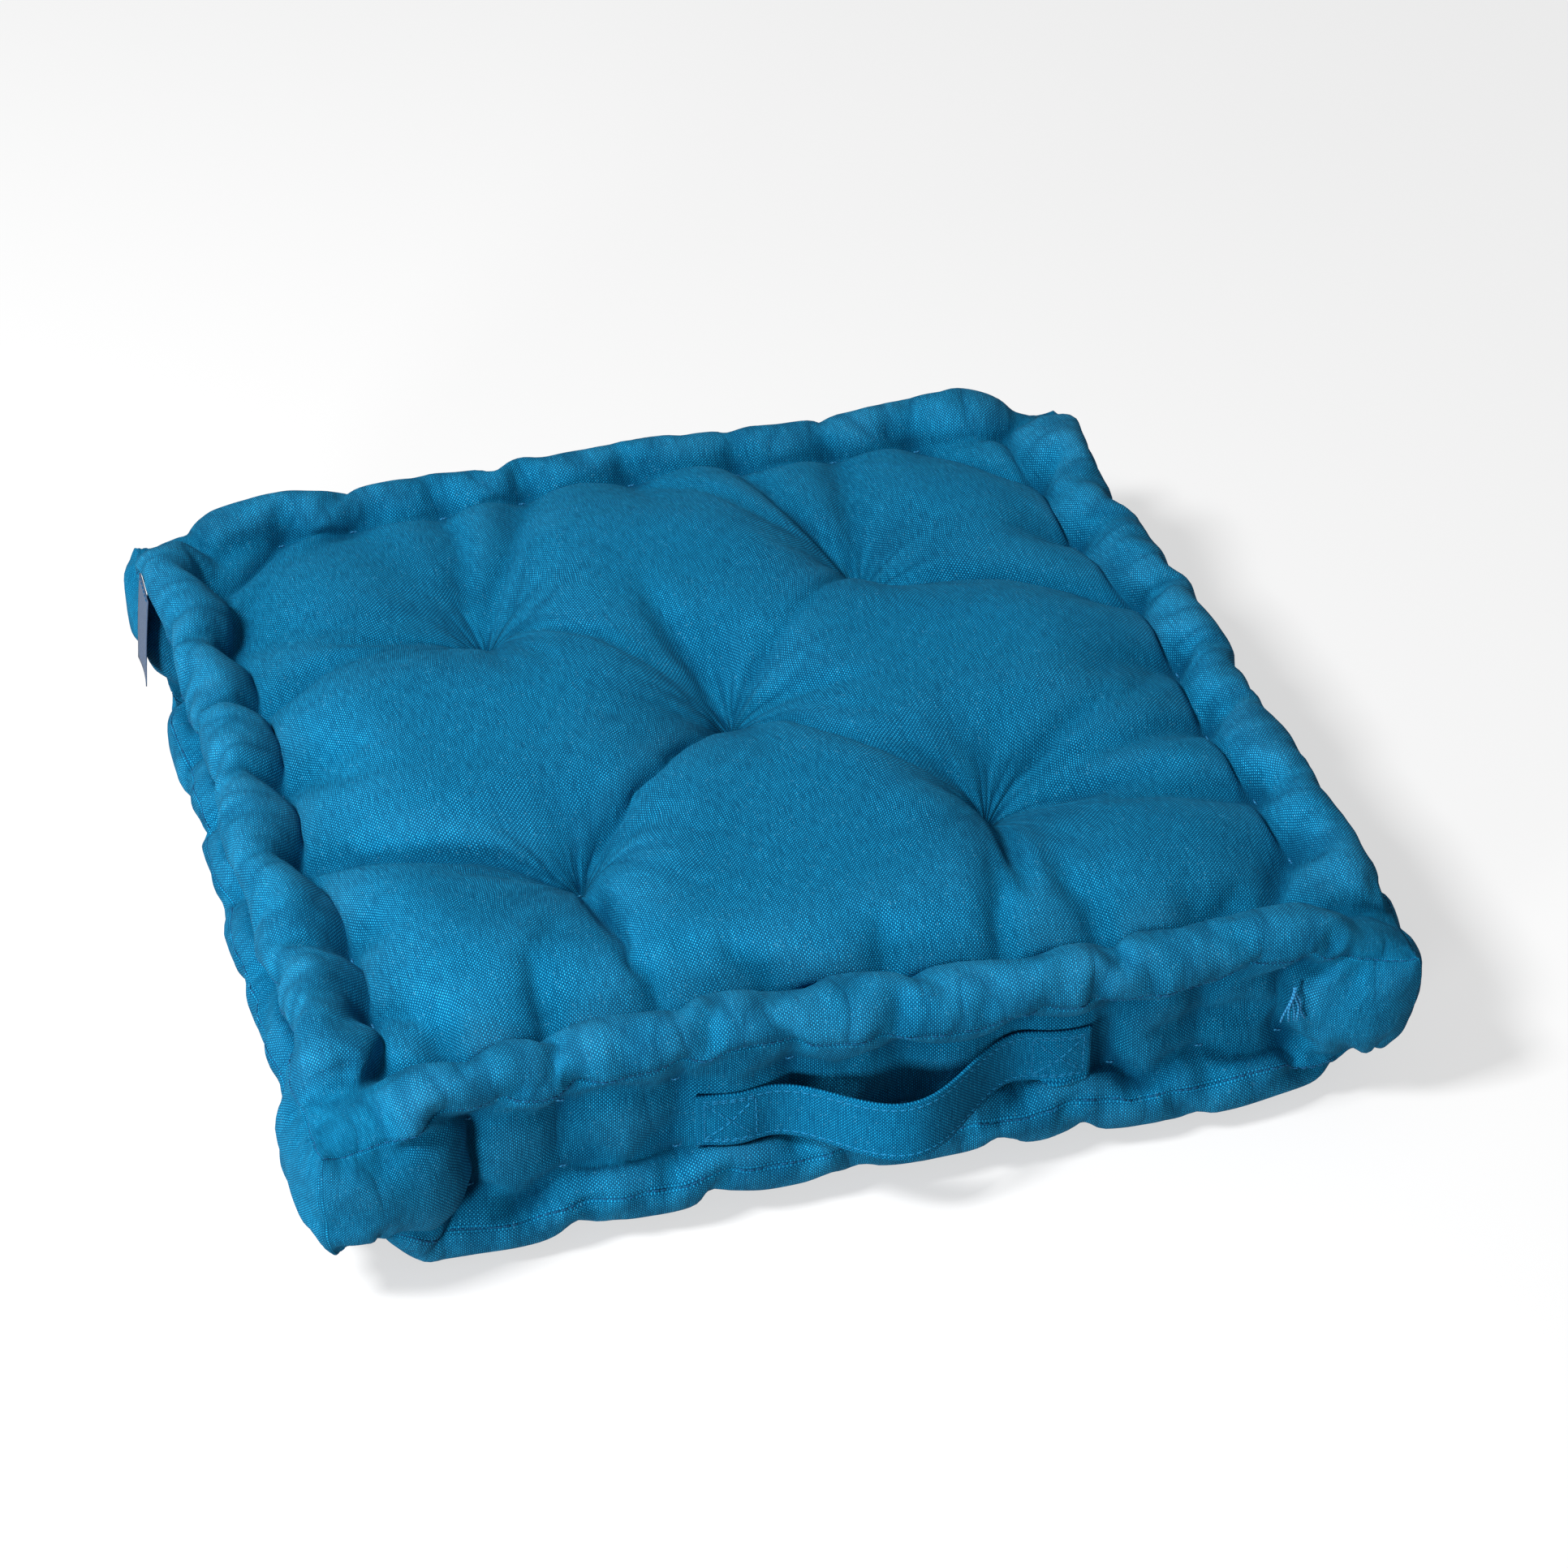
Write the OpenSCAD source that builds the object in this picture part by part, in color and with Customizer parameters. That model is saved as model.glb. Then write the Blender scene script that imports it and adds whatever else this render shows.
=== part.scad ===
// Square floor cushion with a rolled edge above and below, tufted through its
// middle, with a sewn strap handle on the front and two labels on the left side.
// Origin: middle of the face it rests on. +X runs right along the front, +Z is up,
// and the front with the handle faces -Y.

/* [Cushion] */
// Length of each side, from seam to seam
side = 450; // [420:5:520]
// Height over the edge rolls
height = 100; // [90:1:130]
// Corner radius seen from above
corner_r = 45; // [45:1:60]
// Thickness of the cotton canvas
fabric_t = 0.8; // [0.6:0.1:0.9]

/* [Edge rolls] */
// Diameter of the stitched rolls
roll_d = 32; // [30:1:33]
// Depth that the band lies inside the seams
band_inset = 10; // [9:1:11]
// Depth that the top panel lies below the top of the rolls
crown_drop = 8; // [6:1:10]

/* [Tufting] */
// Sideways distance of the four outer tufts from the middle
tuft_x = 87; // [70:1:100]
// Front to back distance of the four outer tufts from the middle
tuft_y = 89; // [70:1:100]
// Thickness left between an upper and a lower dimple
tuft_waist = 32; // [24:1:40]
// Radius of a dimple at its mouth
dimple_r = 30; // [20:1:32]
// Thickness of the sewing thread
thread_d = 0.8; // [0.6:0.1:1]

/* [Handle] */
// Width of the strap
strap_w = 25; // [20:1:30]
// Thickness of the folded strap
strap_t = 1.8; // [1.4:0.1:2.2]
// Left end of the free loop
loop_left = -44; // [-60:1:-40]
// Right end of the free loop
loop_right = 64; // [60:1:80]
// Length of each end that is sewn down
patch_len = 27; // [22:1:32]
// How far the loop bows away from the band
loop_bow = 26; // [24:1:28]
// Height of the middle of the strap
strap_z = 48; // [47:1:50]

/* [Labels and thread ends] */
// Width of the side label
label_w = 25; // [15:1:35]
// Length that the side label hangs below the seam
label_drop = 45; // [30:1:50]
// Place of the side label's middle along the left side
label_y = 172; // [140:1:175]
// Length of the loose thread ends
tail_len = 15; // [10:1:20]
// Place of the loose thread ends along the front
tail_x = 174; // [172:1:176]

/* [Hidden] */
$fn = 48;

half = side / 2;
straight_u = half - corner_r;      // where each straight side meets its corner
roll_r = roll_d / 2;
roll_u = half - roll_r;            // middle of a roll, outwards from the cushion's middle
top_roll_z = height - roll_r;
bottom_roll_z = roll_r;
band_u = half - band_inset;
band_angle = acos((roll_r - band_inset) / roll_r);

skin_gap = 0.2;                    // room between a filling and the cloth over it
seam_half = 0.55;                  // half the slot between panel and band at a seam
seam_angle = asin(seam_half / roll_r);

valley_r = 2;                      // the sewn groove between a panel and its roll
valley_u = roll_u - roll_r - valley_r;
valley_depth = 6;                  // groove floor below the middle of the roll
shoulder_r = 8;                    // where a panel turns down into the groove
shoulder_u = valley_u - valley_r - shoulder_r;

tuft_tip_r = 2;
dimple_rim = 2;                    // flat ring of cloth round the mouth of a dimple
top_tuft_z = height / 2 + tuft_waist / 2;
bottom_tuft_z = height / 2 - tuft_waist / 2;
top_tuft_depth = height - crown_drop - top_tuft_z;
strand_gap = 2;                    // between the two strands of a tuft thread
tuft_bar = [4.5, 1.2, 1];
tuft_knot = [1.6, 1.6];            // radius and height of the knot below
tuft_bore_r = 2.6;

TUFTS = [[0, 0], [-tuft_x, -tuft_y], [tuft_x, -tuft_y], [-tuft_x, tuft_y], [tuft_x, tuft_y]];

// Hand-sewn roll stitches, as uneven as the needle left them, for a 450 mm side.
// Each list runs along one side: +X on the front and back, +Y on the left and right.
FRONT_STITCHES = [-160, -123, -77, -31, 15, 62, 102, 140, 174];
RIGHT_STITCHES = [-152, -110, -61, -13, 37, 93, 145];
BACK_STITCHES = [-158, -125, -82, -44, 9, 59, 107, 148];
LEFT_STITCHES = [-153, -111, -52, 5, 59, 111, 160];
stitch_scale = side / 450;
stitch_bar = 3;                    // length of the tack that shows at each end
stitch_drop = 0.5;                 // where a stitch leaves the band, below its roll
stitch_bend_u = roll_u - 4;        // where a stitch turns outwards under its roll

loop_joint = 10;                   // the loop swings freely where it stands this far off
joint_gap = 0.3;
sewn_gap = 0.1;                    // between the strap and the band under it
strap_y = -(band_u + sewn_gap + strap_t / 2);
loop_span = loop_right - loop_left;
strap_left = loop_left - patch_len;
strap_right = loop_right + patch_len;
box_inset = 3;                     // box stitching inside the edges of a sewn end
row_d = 0.6;                       // thickness of the topstitching
row_inset = 2.5;                   // topstitching inside the strap's edges
row_gap = 0.05;
joint_share = acos(1 - 2 * loop_joint / loop_bow) / 360;
joint_left = loop_left + joint_share * loop_span;
joint_right = loop_right - joint_share * loop_span;

label_t = 0.6;
label_top = top_roll_z - 0.8;
label_u = half + 0.3;
care_t = 0.2;
care_u = half + 0.05;
care_inset = 2;                    // the care label is narrower on each side
care_drop = 38;

knot_r = 0.8;
tail_z = top_roll_z - roll_r - 2.5;
tail_u = band_u + 1.8;
tail_count = 5;
tail_fan = 7;                      // degrees between neighbouring strands

opening_half = 70;                 // half the length of the hand-closed opening
ladder_pitch = 7;
join_x = 60;                       // the band's two ends meet here on the back
join_pitch = 3.2;
join_stitch = 2.4;

// ---- outlines ----

function unit(v) = v / norm(v);
function left_of(v) = [-v[1], v[0]];
function arc(centre, r, from, to, n) =
    [for (i = [0:n]) centre + r * [cos(from + (to - from) * i / n), sin(from + (to - from) * i / n)]];

// Mitred sideways step at point i of a path, one unit to the left of it.
function step_at(path, i) =
    let (before = left_of(unit(path[max(i, 1)] - path[max(i, 1) - 1])),
         after = left_of(unit(path[min(i, len(path) - 2) + 1] - path[min(i, len(path) - 2)])))
    (before + after) / (1 + before * after);

// Closed outline of a strip that starts on the path and is t thick to its left.
function strip(path, t) =
    concat(path, [for (i = [len(path) - 1:-1:0]) path[i] + t * step_at(path, i)]);

// ---- shared shapes ----

// Carries a (u, z) outline round the cushion: four straight sides and four corners.
module ring() {
    for (turn = [0:90:270]) rotate(turn) {
        translate([-straight_u, 0, 0]) rotate([90, 0, 90]) linear_extrude(2 * straight_u) children();
        translate([straight_u, straight_u, 0])
            rotate_extrude(angle = 90) translate([-straight_u, 0]) children();
    }
}

// Draws a (u, z) outline that is w wide, across the side that faces `turn` from +Y.
module across(turn, x, w) {
    rotate(turn) translate([x - w / 2, 0, 0]) rotate([90, 0, 90]) linear_extrude(w) children();
}

// A panel seen as the top one: flat plate, shoulder, sewn groove and half a roll.
module panel(drop) {
    plate_z = height - drop;
    section = concat(
        [[straight_u, plate_z]],
        arc([shoulder_u, plate_z - shoulder_r], shoulder_r, 90, 0, 6),
        arc([valley_u, top_roll_z - valley_depth + valley_r], valley_r, 180, 360, 6),
        arc([roll_u, top_roll_z], roll_r, 180, seam_angle, 24));
    dimple = [[0, top_tuft_z], [tuft_tip_r, top_tuft_z], [dimple_r, plate_z],
              [dimple_r + dimple_rim, plate_z]];
    ring() polygon(strip(section, -fabric_t));
    difference() {
        translate([-straight_u, -straight_u, plate_z - fabric_t])
            cube([2 * straight_u, 2 * straight_u, fabric_t]);
        for (t = TUFTS) translate([t[0], t[1], plate_z - 2 * fabric_t])
            cylinder(h = 3 * fabric_t, r = dimple_r + dimple_rim);
    }
    for (t = TUFTS) translate(t) rotate_extrude() polygon(strip(dimple, -fabric_t));
}

// The space that a dimple leaves in the filling, with its tip at the origin.
module dimple_space(depth) {
    reach = 1.1;
    translate([0, 0, -2 * fabric_t])
        cylinder(h = reach * depth, r1 = tuft_tip_r, r2 = tuft_tip_r + reach * (dimple_r - tuft_tip_r));
}

// Turns a shape drawn for the top of the cushion over to the bottom.
module underside() {
    translate([0, 0, height]) mirror([0, 0, 1]) children();
}

// ---- filling ----

module core_filling() {
    inner_u = shoulder_u + shoulder_r - fabric_t - skin_gap;
    top_z = height - crown_drop - fabric_t - skin_gap;
    low_z = fabric_t + skin_gap;
    round_r = inner_u - shoulder_u;
    shelf_u = stitch_bend_u - 2;
    shelf = 14.5;                  // half the height that reaches out to the band
    lean = 9;                      // rise from the shelf up to the groove
    mid = height / 2;
    half_section = concat(
        [[straight_u, low_z]],
        arc([shoulder_u, low_z + round_r], round_r, -90, 0, 6),
        [[inner_u, mid - shelf - lean], [shelf_u, mid - shelf],
         [band_u - fabric_t - skin_gap, mid - shelf], [band_u - fabric_t - skin_gap, mid + shelf],
         [shelf_u, mid + shelf], [inner_u, mid + shelf + lean]],
        arc([shoulder_u, top_z - round_r], round_r, 0, 90, 6),
        [[straight_u, top_z]]);
    color("whitesmoke") difference() {
        union() {
            ring() polygon(half_section);
            translate([-straight_u, -straight_u, low_z])
                cube([2 * straight_u, 2 * straight_u, top_z - low_z]);
        }
        for (t = TUFTS) translate(t) {
            translate([0, 0, top_tuft_z]) dimple_space(top_tuft_depth);
            translate([0, 0, bottom_tuft_z]) mirror([0, 0, 1]) dimple_space(bottom_tuft_z);
            cylinder(h = height, r = tuft_bore_r, $fn = 8);
        }
    }
}

module roll_filling(z) {
    color("whitesmoke") ring() translate([roll_u, z]) circle(r = roll_r - fabric_t - skin_gap);
}

module top_roll_filling() roll_filling(top_roll_z);
module bottom_roll_filling() roll_filling(bottom_roll_z);

// ---- cover ----

module top_panel() color("#0a6ca6") panel(crown_drop);

module bottom_panel() color("#0a6ca6") underside() panel(0);

module side_band() {
    section = concat(
        arc([roll_u, top_roll_z], roll_r, -seam_angle, -band_angle, 9),
        arc([roll_u, bottom_roll_z], roll_r, band_angle, seam_angle, 9));
    color("#09649b") ring() polygon(strip(section, -fabric_t));
}

// ---- sewing ----

// The line of machine stitches that joins a panel to the band.
module seam_thread(z) {
    color("#0b5d92") ring() translate([half - thread_d, z - thread_d / 2]) square(thread_d);
}

module top_seam_thread() seam_thread(top_roll_z);
module bottom_seam_thread() seam_thread(bottom_roll_z);

// Where the two ends of the band are sewn together, up the back.
module band_join_thread() {
    low = bottom_roll_z + roll_r + 3;
    high = top_roll_z - roll_r - 3;
    color("#0b5d92") for (z = [low:join_pitch:high - join_stitch])
        translate([join_x, band_u + row_gap, z]) cube([row_d, row_d, join_stitch]);
}

// Hand stitches that close the stuffing opening in the bottom back seam.
module closing_stitches() {
    color("#0b5d92") for (x = [-opening_half:ladder_pitch:opening_half])
        translate([x, half + row_gap + row_d / 2, bottom_roll_z]) rotate([0, 20, 0])
            cube([row_d, row_d, 2 * ladder_pitch / 3], center = true);
}

// One hand stitch that pinches the roll: down from the groove, out under the roll.
module roll_stitch(turn, x) {
    groove_z = top_roll_z - valley_depth;
    out_z = top_roll_z - roll_r - stitch_drop - thread_d;
    path = [[valley_u, groove_z + thread_d], [valley_u, groove_z - 2],
            [stitch_bend_u, out_z], [band_u + thread_d, out_z]];
    across(turn, x, thread_d) polygon(strip(path, thread_d));
    across(turn, x, stitch_bar) translate([valley_u - thread_d, groove_z]) square(thread_d);
    across(turn, x, stitch_bar) translate([band_u, out_z]) square(thread_d);
}

module roll_stitches() {
    color("#0e76ab") {
        for (x = FRONT_STITCHES) roll_stitch(180, -x * stitch_scale);
        for (y = RIGHT_STITCHES) roll_stitch(-90, -y * stitch_scale);
        for (x = BACK_STITCHES) roll_stitch(0, x * stitch_scale);
        for (y = LEFT_STITCHES) roll_stitch(90, y * stitch_scale);
    }
}

module top_roll_stitches() roll_stitches();
module bottom_roll_stitches() underside() roll_stitches();

// A doubled thread through the cushion, with its loop on top and its knot below.
module tuft_thread(at) {
    low = bottom_tuft_z - tuft_knot[1];
    color("#0e76ab") translate(at) {
        for (x = [-strand_gap / 2, strand_gap / 2]) translate([x, 0, low])
            cylinder(h = top_tuft_z + tuft_bar[2] - low, d = thread_d, $fn = 8);
        translate([-tuft_bar[0] / 2, -tuft_bar[1] / 2, top_tuft_z]) cube(tuft_bar);
        translate([0, 0, low]) cylinder(h = tuft_knot[1], r = tuft_knot[0], $fn = 8);
    }
}

module tuft_thread_centre() tuft_thread(TUFTS[0]);
module tuft_thread_front_left() tuft_thread(TUFTS[1]);
module tuft_thread_front_right() tuft_thread(TUFTS[2]);
module tuft_thread_back_left() tuft_thread(TUFTS[3]);
module tuft_thread_back_right() tuft_thread(TUFTS[4]);

// ---- handle ----

// Plan view of the strap's middle line, from one sewn end to the other.
function strap_point(x) = [x, strap_y - loop_bow * (1 - cos(360 * (x - loop_left) / loop_span)) / 2];
strap_steps = 36;
strap_path = concat(
    [[loop_left - patch_len, strap_y]],
    [for (i = [0:strap_steps]) strap_point(loop_left + loop_span * i / strap_steps)],
    [[loop_right + patch_len, strap_y]]);
function sideways(path, d) = [for (i = [0:len(path) - 1]) path[i] + d * step_at(path, i)];

// The stretch of the strap between two places along the front, or of a row on its
// outer face: t thick about the offset `out`, and w high about the height z.
module strap_stretch(from, to, out, t, z, w) {
    translate([0, 0, z - w / 2]) linear_extrude(w) intersection() {
        polygon(strip(sideways(strap_path, -out - t / 2), t));
        translate([from, -side]) square([to - from, side]);
    }
}

module strap_part(from, to) {
    color("#0a6ca6") strap_stretch(from, to, 0, strap_t, strap_z, strap_w);
}

// Both rows of topstitching along a stretch of the strap's outer face.
module edge_rows(from, to) {
    for (z = [strap_z - strap_w / 2 + row_inset, strap_z + strap_w / 2 - row_inset])
        strap_stretch(from, to, strap_t / 2 + row_gap + row_d / 2, row_d, z, row_d);
}

// Square of stitches crossed corner to corner, from x to x + w.
module box_stitch(x, w) {
    h = strap_w - 2 * row_inset;
    diagonal = norm([w, h]);
    y = strap_y - strap_t / 2 - row_gap - row_d / 2;
    translate([x + w / 2, y, strap_z]) {
        for (s = [-1, 1]) {
            translate([s * (w - row_d) / 2, 0, 0]) cube([row_d, row_d, h], center = true);
            rotate([0, s * atan2(h, w), 0]) cube([diagonal, row_d, row_d], center = true);
        }
    }
}

module handle_left_end() strap_part(strap_left, joint_left);
module handle_right_end() strap_part(joint_right, strap_right);
module handle_loop() strap_part(joint_left + joint_gap, joint_right - joint_gap);

module handle_left_stitching() color("#4fa3c4") {
    edge_rows(strap_left + row_inset, joint_left);
    box_stitch(strap_left + box_inset, patch_len - 2 * box_inset);
}

module handle_right_stitching() color("#4fa3c4") {
    edge_rows(joint_right, strap_right - row_inset);
    box_stitch(loop_right + box_inset, patch_len - 2 * box_inset);
}

module handle_loop_stitching() color("#4fa3c4") edge_rows(joint_left + joint_gap, joint_right - joint_gap);

// ---- labels and thread ends ----

module hanging_label(u, t, w, drop) {
    translate([-u - t, label_y - w / 2, label_top - drop]) cube([t, w, drop]);
}

module side_label() color("#5a7390") hanging_label(label_u, label_t, label_w, label_drop);
module care_label() color("white") hanging_label(care_u, care_t, label_w - 2 * care_inset, care_drop);

// The stretch of seam stitching that holds both labels, on their fold line.
module label_stitches() {
    w = label_w - care_inset;
    bar = 0.5;
    color("#0b5d92") translate([-label_u - label_t / 2, label_y, top_roll_z])
        cube([bar, w, bar], center = true);
}

// Loose ends of the last roll stitch: a knot with strands that fan out downwards.
module thread_tails() {
    color("#1c86b8") translate([tail_x, -tail_u, tail_z]) {
        translate([0, 0, -knot_r]) cylinder(h = 2 * knot_r, r = knot_r, $fn = 8);
        for (i = [0:tail_count - 1]) rotate([0, (i - (tail_count - 1) / 2) * tail_fan, 0])
            translate([0, 0, -tail_len]) cylinder(h = tail_len, d = thread_d, $fn = 8);
    }
}

core_filling();
top_roll_filling();
bottom_roll_filling();
top_panel();
bottom_panel();
side_band();
top_seam_thread();
bottom_seam_thread();
band_join_thread();
closing_stitches();
top_roll_stitches();
bottom_roll_stitches();
tuft_thread_centre();
tuft_thread_front_left();
tuft_thread_front_right();
tuft_thread_back_left();
tuft_thread_back_right();
handle_left_end();
handle_right_end();
handle_loop();
handle_left_stitching();
handle_right_stitching();
handle_loop_stitching();
side_label();
care_label();
label_stitches();
thread_tails();
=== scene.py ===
"""Floor cushion: the looks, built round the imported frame. Lengths are in metres."""

import math

import bmesh
import bpy
import numpy as np
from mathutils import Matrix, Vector
from mathutils.bvhtree import BVHTree


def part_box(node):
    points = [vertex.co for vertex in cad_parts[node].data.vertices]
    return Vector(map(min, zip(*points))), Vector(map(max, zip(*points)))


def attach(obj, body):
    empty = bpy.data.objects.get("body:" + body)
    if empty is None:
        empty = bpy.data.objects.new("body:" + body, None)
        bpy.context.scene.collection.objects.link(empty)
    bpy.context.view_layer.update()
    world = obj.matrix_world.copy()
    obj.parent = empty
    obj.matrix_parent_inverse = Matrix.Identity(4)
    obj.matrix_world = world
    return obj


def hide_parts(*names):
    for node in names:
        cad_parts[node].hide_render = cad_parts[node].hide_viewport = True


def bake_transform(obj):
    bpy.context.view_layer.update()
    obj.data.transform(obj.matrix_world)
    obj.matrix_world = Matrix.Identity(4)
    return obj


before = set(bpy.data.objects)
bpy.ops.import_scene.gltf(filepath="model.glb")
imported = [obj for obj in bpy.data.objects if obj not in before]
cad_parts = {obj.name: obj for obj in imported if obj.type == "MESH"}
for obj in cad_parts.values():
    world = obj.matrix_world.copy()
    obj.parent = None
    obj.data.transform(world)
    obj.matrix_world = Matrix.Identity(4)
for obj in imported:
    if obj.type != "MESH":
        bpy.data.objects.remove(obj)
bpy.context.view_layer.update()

# ---- sizes taken from the frame
PANEL_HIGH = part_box("top_panel")[1]
HALF = PANEL_HIGH.x  # half of the cushion's side
HEIGHT = PANEL_HIGH.z
STRAP_LOW, STRAP_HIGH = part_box("handle_loop")
LEFT_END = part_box("handle_left_end")
RIGHT_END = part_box("handle_right_end")
LOOP_LEFT, LOOP_RIGHT = -0.044, 0.064  # where the strap leaves the band
STRAP_T = 0.0018
BAND_OUT = -LEFT_END[1].y - STRAP_T  # the band behind the strap's sewn ends
LABEL_LOW, LABEL_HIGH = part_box("side_label")
TAILS_LOW, TAILS_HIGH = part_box("thread_tails")
TUFT_NAMES = ("centre", "front_left", "front_right", "back_left", "back_right")
TUFTS = [f"tuft_thread_{name}" for name in TUFT_NAMES]


def middle_of(node):
    """The middle of a node's box, seen from above."""
    low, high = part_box(node)
    return (low.x + high.x) / 2, (low.y + high.y) / 2


TUFT_PLACES = [middle_of(name) for name in TUFTS]
TUFT_REACH = TUFT_PLACES[-1]  # the back right one; the other three outer tufts mirror it

# ---- cutting pattern of the cover
CELL = 0.0062  # spacing of the simulated cloth
EASE = 1.09  # the panels are cut this much larger, which is what wrinkles them
GROOVE_OUT = 0.190  # from the middle to the groove inside a roll
ROLL_CLOTH = 0.057  # cloth from that groove, over the roll, to the seam
BAND_CLOTH = 0.076  # height that the band is cut to
UNDER_CLOTH = 0.018  # from the seam to the stitches in the band
PATTERN = GROOVE_OUT * EASE + ROLL_CLOTH  # half of the panel's cut side
CORNER_TAKE_UP = 0.40  # share of the cloth that gathers at a corner of the top panel
FOOT_TAKE_UP = 0.50  # of the bottom panel
POST_TAKE_UP = 0.22  # and of the band

# ---- roll stitches
# Each is (place along the side, distance of the groove from the middle), in millimetres.
STITCHES = {
    "front": [
        (-160, 193), (-123, 189), (-77, 189), (-31, 183), (15, 187),
        (62, 192), (102, 193), (140, 193), (174, 196),
    ],
    "right": [(-152, 199), (-110, 200), (-61, 197), (-13, 202), (37, 203), (93, 192), (145, 192)],
    "back": [
        (-158, 202), (-125, 204), (-82, 203), (-44, 206), (9, 208),
        (59, 202), (107, 202), (148, 200),
    ],
    "left": [(-153, 186), (-111, 185), (-52, 196), (5, 193), (59, 193), (111, 198), (160, 198)],
}
MM = 0.001
GROOVE_CORNER = 0.189
GROOVE_SLACK = 0.005  # the groove lies this much further in between stitches
STITCH_Z = 0.074  # height at which a stitch enters the panel
GROOVE_Z = 0.083  # the groove's height between stitches
UNDER_OUT = 0.202  # where the stitch comes out in the band
UNDER_SLACK_OUT = 0.212  # and the same row between stitches
UNDER_Z = 0.067
CREASE_OUT = 0.200  # the crease that runs down the band between two stitches
PINCH_Z = 0.0945  # top of the roll where a stitch pinches it
PINCH_SHIFT = 0.005  # the pinch lies this much further out than the middle of the roll
TUFT_Z = 0.069
SLACK_RISE = 0.002  # the row in the band stands this much higher between stitches
LABEL_SEAM_RISE = 0.0006  # the seam lies this much over the top of the labels
# How firmly a point is held, from 0, which is free, to 1. A full stitch is 1.
GROOVE_FIRMNESS = 0.999
CREASE_FIRMNESS = 0.95
TIP_FIRMNESS = 0.8
FOOT_FIRMNESS = 0.6
SLACK_FIRMNESS = 0.6
STRAP_FIRMNESS = 0.55
PINCH_FIRMNESS = 0.5
# Where each corner of the two seams is drawn to: upper tip, then foot.
CORNERS = {
    (-1, -1): ((-0.216, -0.232, 0.079), (-0.202, -0.222, 0.016)),
    (1, -1): ((0.227, -0.230, 0.078), (0.206, -0.204, 0.012)),
    (-1, 1): ((-0.221, 0.219, 0.073), (-0.204, 0.204, 0.012)),
    (1, 1): ((0.225, 0.223, 0.074), (0.204, 0.204, 0.012)),
}

# ---- cloth solver
SOLVER_SCALE = 10.0  # Blender's cloth settings suit an object of metres, not of centimetres
PULL_FRAMES = 22  # the threads are pulled tight over these frames
LAST_FRAME = 40
PRESSURE = 12.0
CEILING = 0.1025  # the filling is firm, so it swells no higher than this
MAX_TAKE_UP = max(CORNER_TAKE_UP, FOOT_TAKE_UP, POST_TAKE_UP)
CLEARANCE = 0.0005  # between the cloth and the planes that it can't pass
UNEVENNESS = 0.0006  # the free points start this far out of line, so that no two folds are alike
CLOTH_SETTINGS = {
    "quality": 5,
    "mass": 0.3,
    "tension_stiffness": 40,
    "compression_stiffness": 40,
    "shear_stiffness": 10,
    "bending_stiffness": 0.5,
    "tension_damping": 5,
    "compression_damping": 5,
    "shear_damping": 5,
    "bending_damping": 0.5,
    "air_damping": 1,
    "use_pressure": True,
    "uniform_pressure_force": PRESSURE,
    "vertex_group_mass": "held",
    "pin_stiffness": 1,
    "vertex_group_shrink": "gathers",
    "shrink_min": 0,
    "shrink_max": MAX_TAKE_UP,
}

SIDES = ("front", "right", "back", "left")
N = round(2 * PATTERN / CELL)  # cells along a side
M = round(BAND_CLOTH / CELL)  # cells up the band
CELL_USED = 2 * PATTERN / N  # CELL, adjusted to fit a whole number of times
GROOVE_ROW = round(ROLL_CLOTH / CELL)
UNDER_ROW = round(UNDER_CLOTH / CELL)


def on_side(side, along, out, z):
    """A point on one of the four sides: along it, out from the middle, and up."""
    x, y = {
        "front": (along, -out),
        "right": (out, along),
        "back": (along, out),
        "left": (-out, along),
    }[side]
    return (x, y, z)


def panel_cell(side, i, depth):
    """The panel's lattice point i along a side, depth rows in from the seam."""
    return {
        "front": (i, depth),
        "right": (N - depth, i),
        "back": (i, N - depth),
        "left": (depth, i),
    }[side]


def band_column(side, i):
    """The band's column below point i of a side."""
    return {"front": i, "right": N + i, "back": 3 * N - i, "left": (4 * N - i) % (4 * N)}[side]


# ---- the lattice of the cover
def border_cells(n):
    """The border of an n by n grid, once round from the front left corner."""
    front = [(i, 0) for i in range(n)]
    right = [(n, j) for j in range(n)]
    back = [(i, n) for i in range(n, 0, -1)]
    left = [(0, j) for j in range(n, 0, -1)]
    return front + right + back + left


def lattice(n, m):
    """Vertex numbers of two n by n panels and of the band, m cells high, that joins them."""
    top = np.arange((n + 1) ** 2).reshape(n + 1, n + 1)
    bottom = top + top.size
    cells = border_cells(n)
    band = np.empty((len(cells), m + 1), int)
    band[:, m] = [top[c] for c in cells]
    band[:, 0] = [bottom[c] for c in cells]
    band[:, 1:m] = 2 * top.size + np.arange(len(cells) * (m - 1)).reshape(-1, m - 1)
    return top, bottom, band


def closed(grid):
    """The band's grid with its first column repeated at the end."""
    return np.concatenate([grid, grid[:1]])


def quads(grid):
    """The four corners of each cell of a grid, anticlockwise."""
    corners = np.stack([grid[:-1, :-1], grid[1:, :-1], grid[1:, 1:], grid[:-1, 1:]], axis=2)
    return corners.reshape(-1, 4, *grid.shape[2:])


def all_quads(top, bottom, band):
    """Every cell of the cover, facing outwards: top panel, bottom panel, band."""
    return [quads(top), quads(bottom)[:, ::-1], quads(closed(band))]


def flat_list(top, bottom, band):
    """The points of the three grids in the order of their vertex numbers."""
    inner = band[:, 1:-1].reshape(-1, 3)
    return np.concatenate([top.reshape(-1, 3), bottom.reshape(-1, 3), inner])


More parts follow.
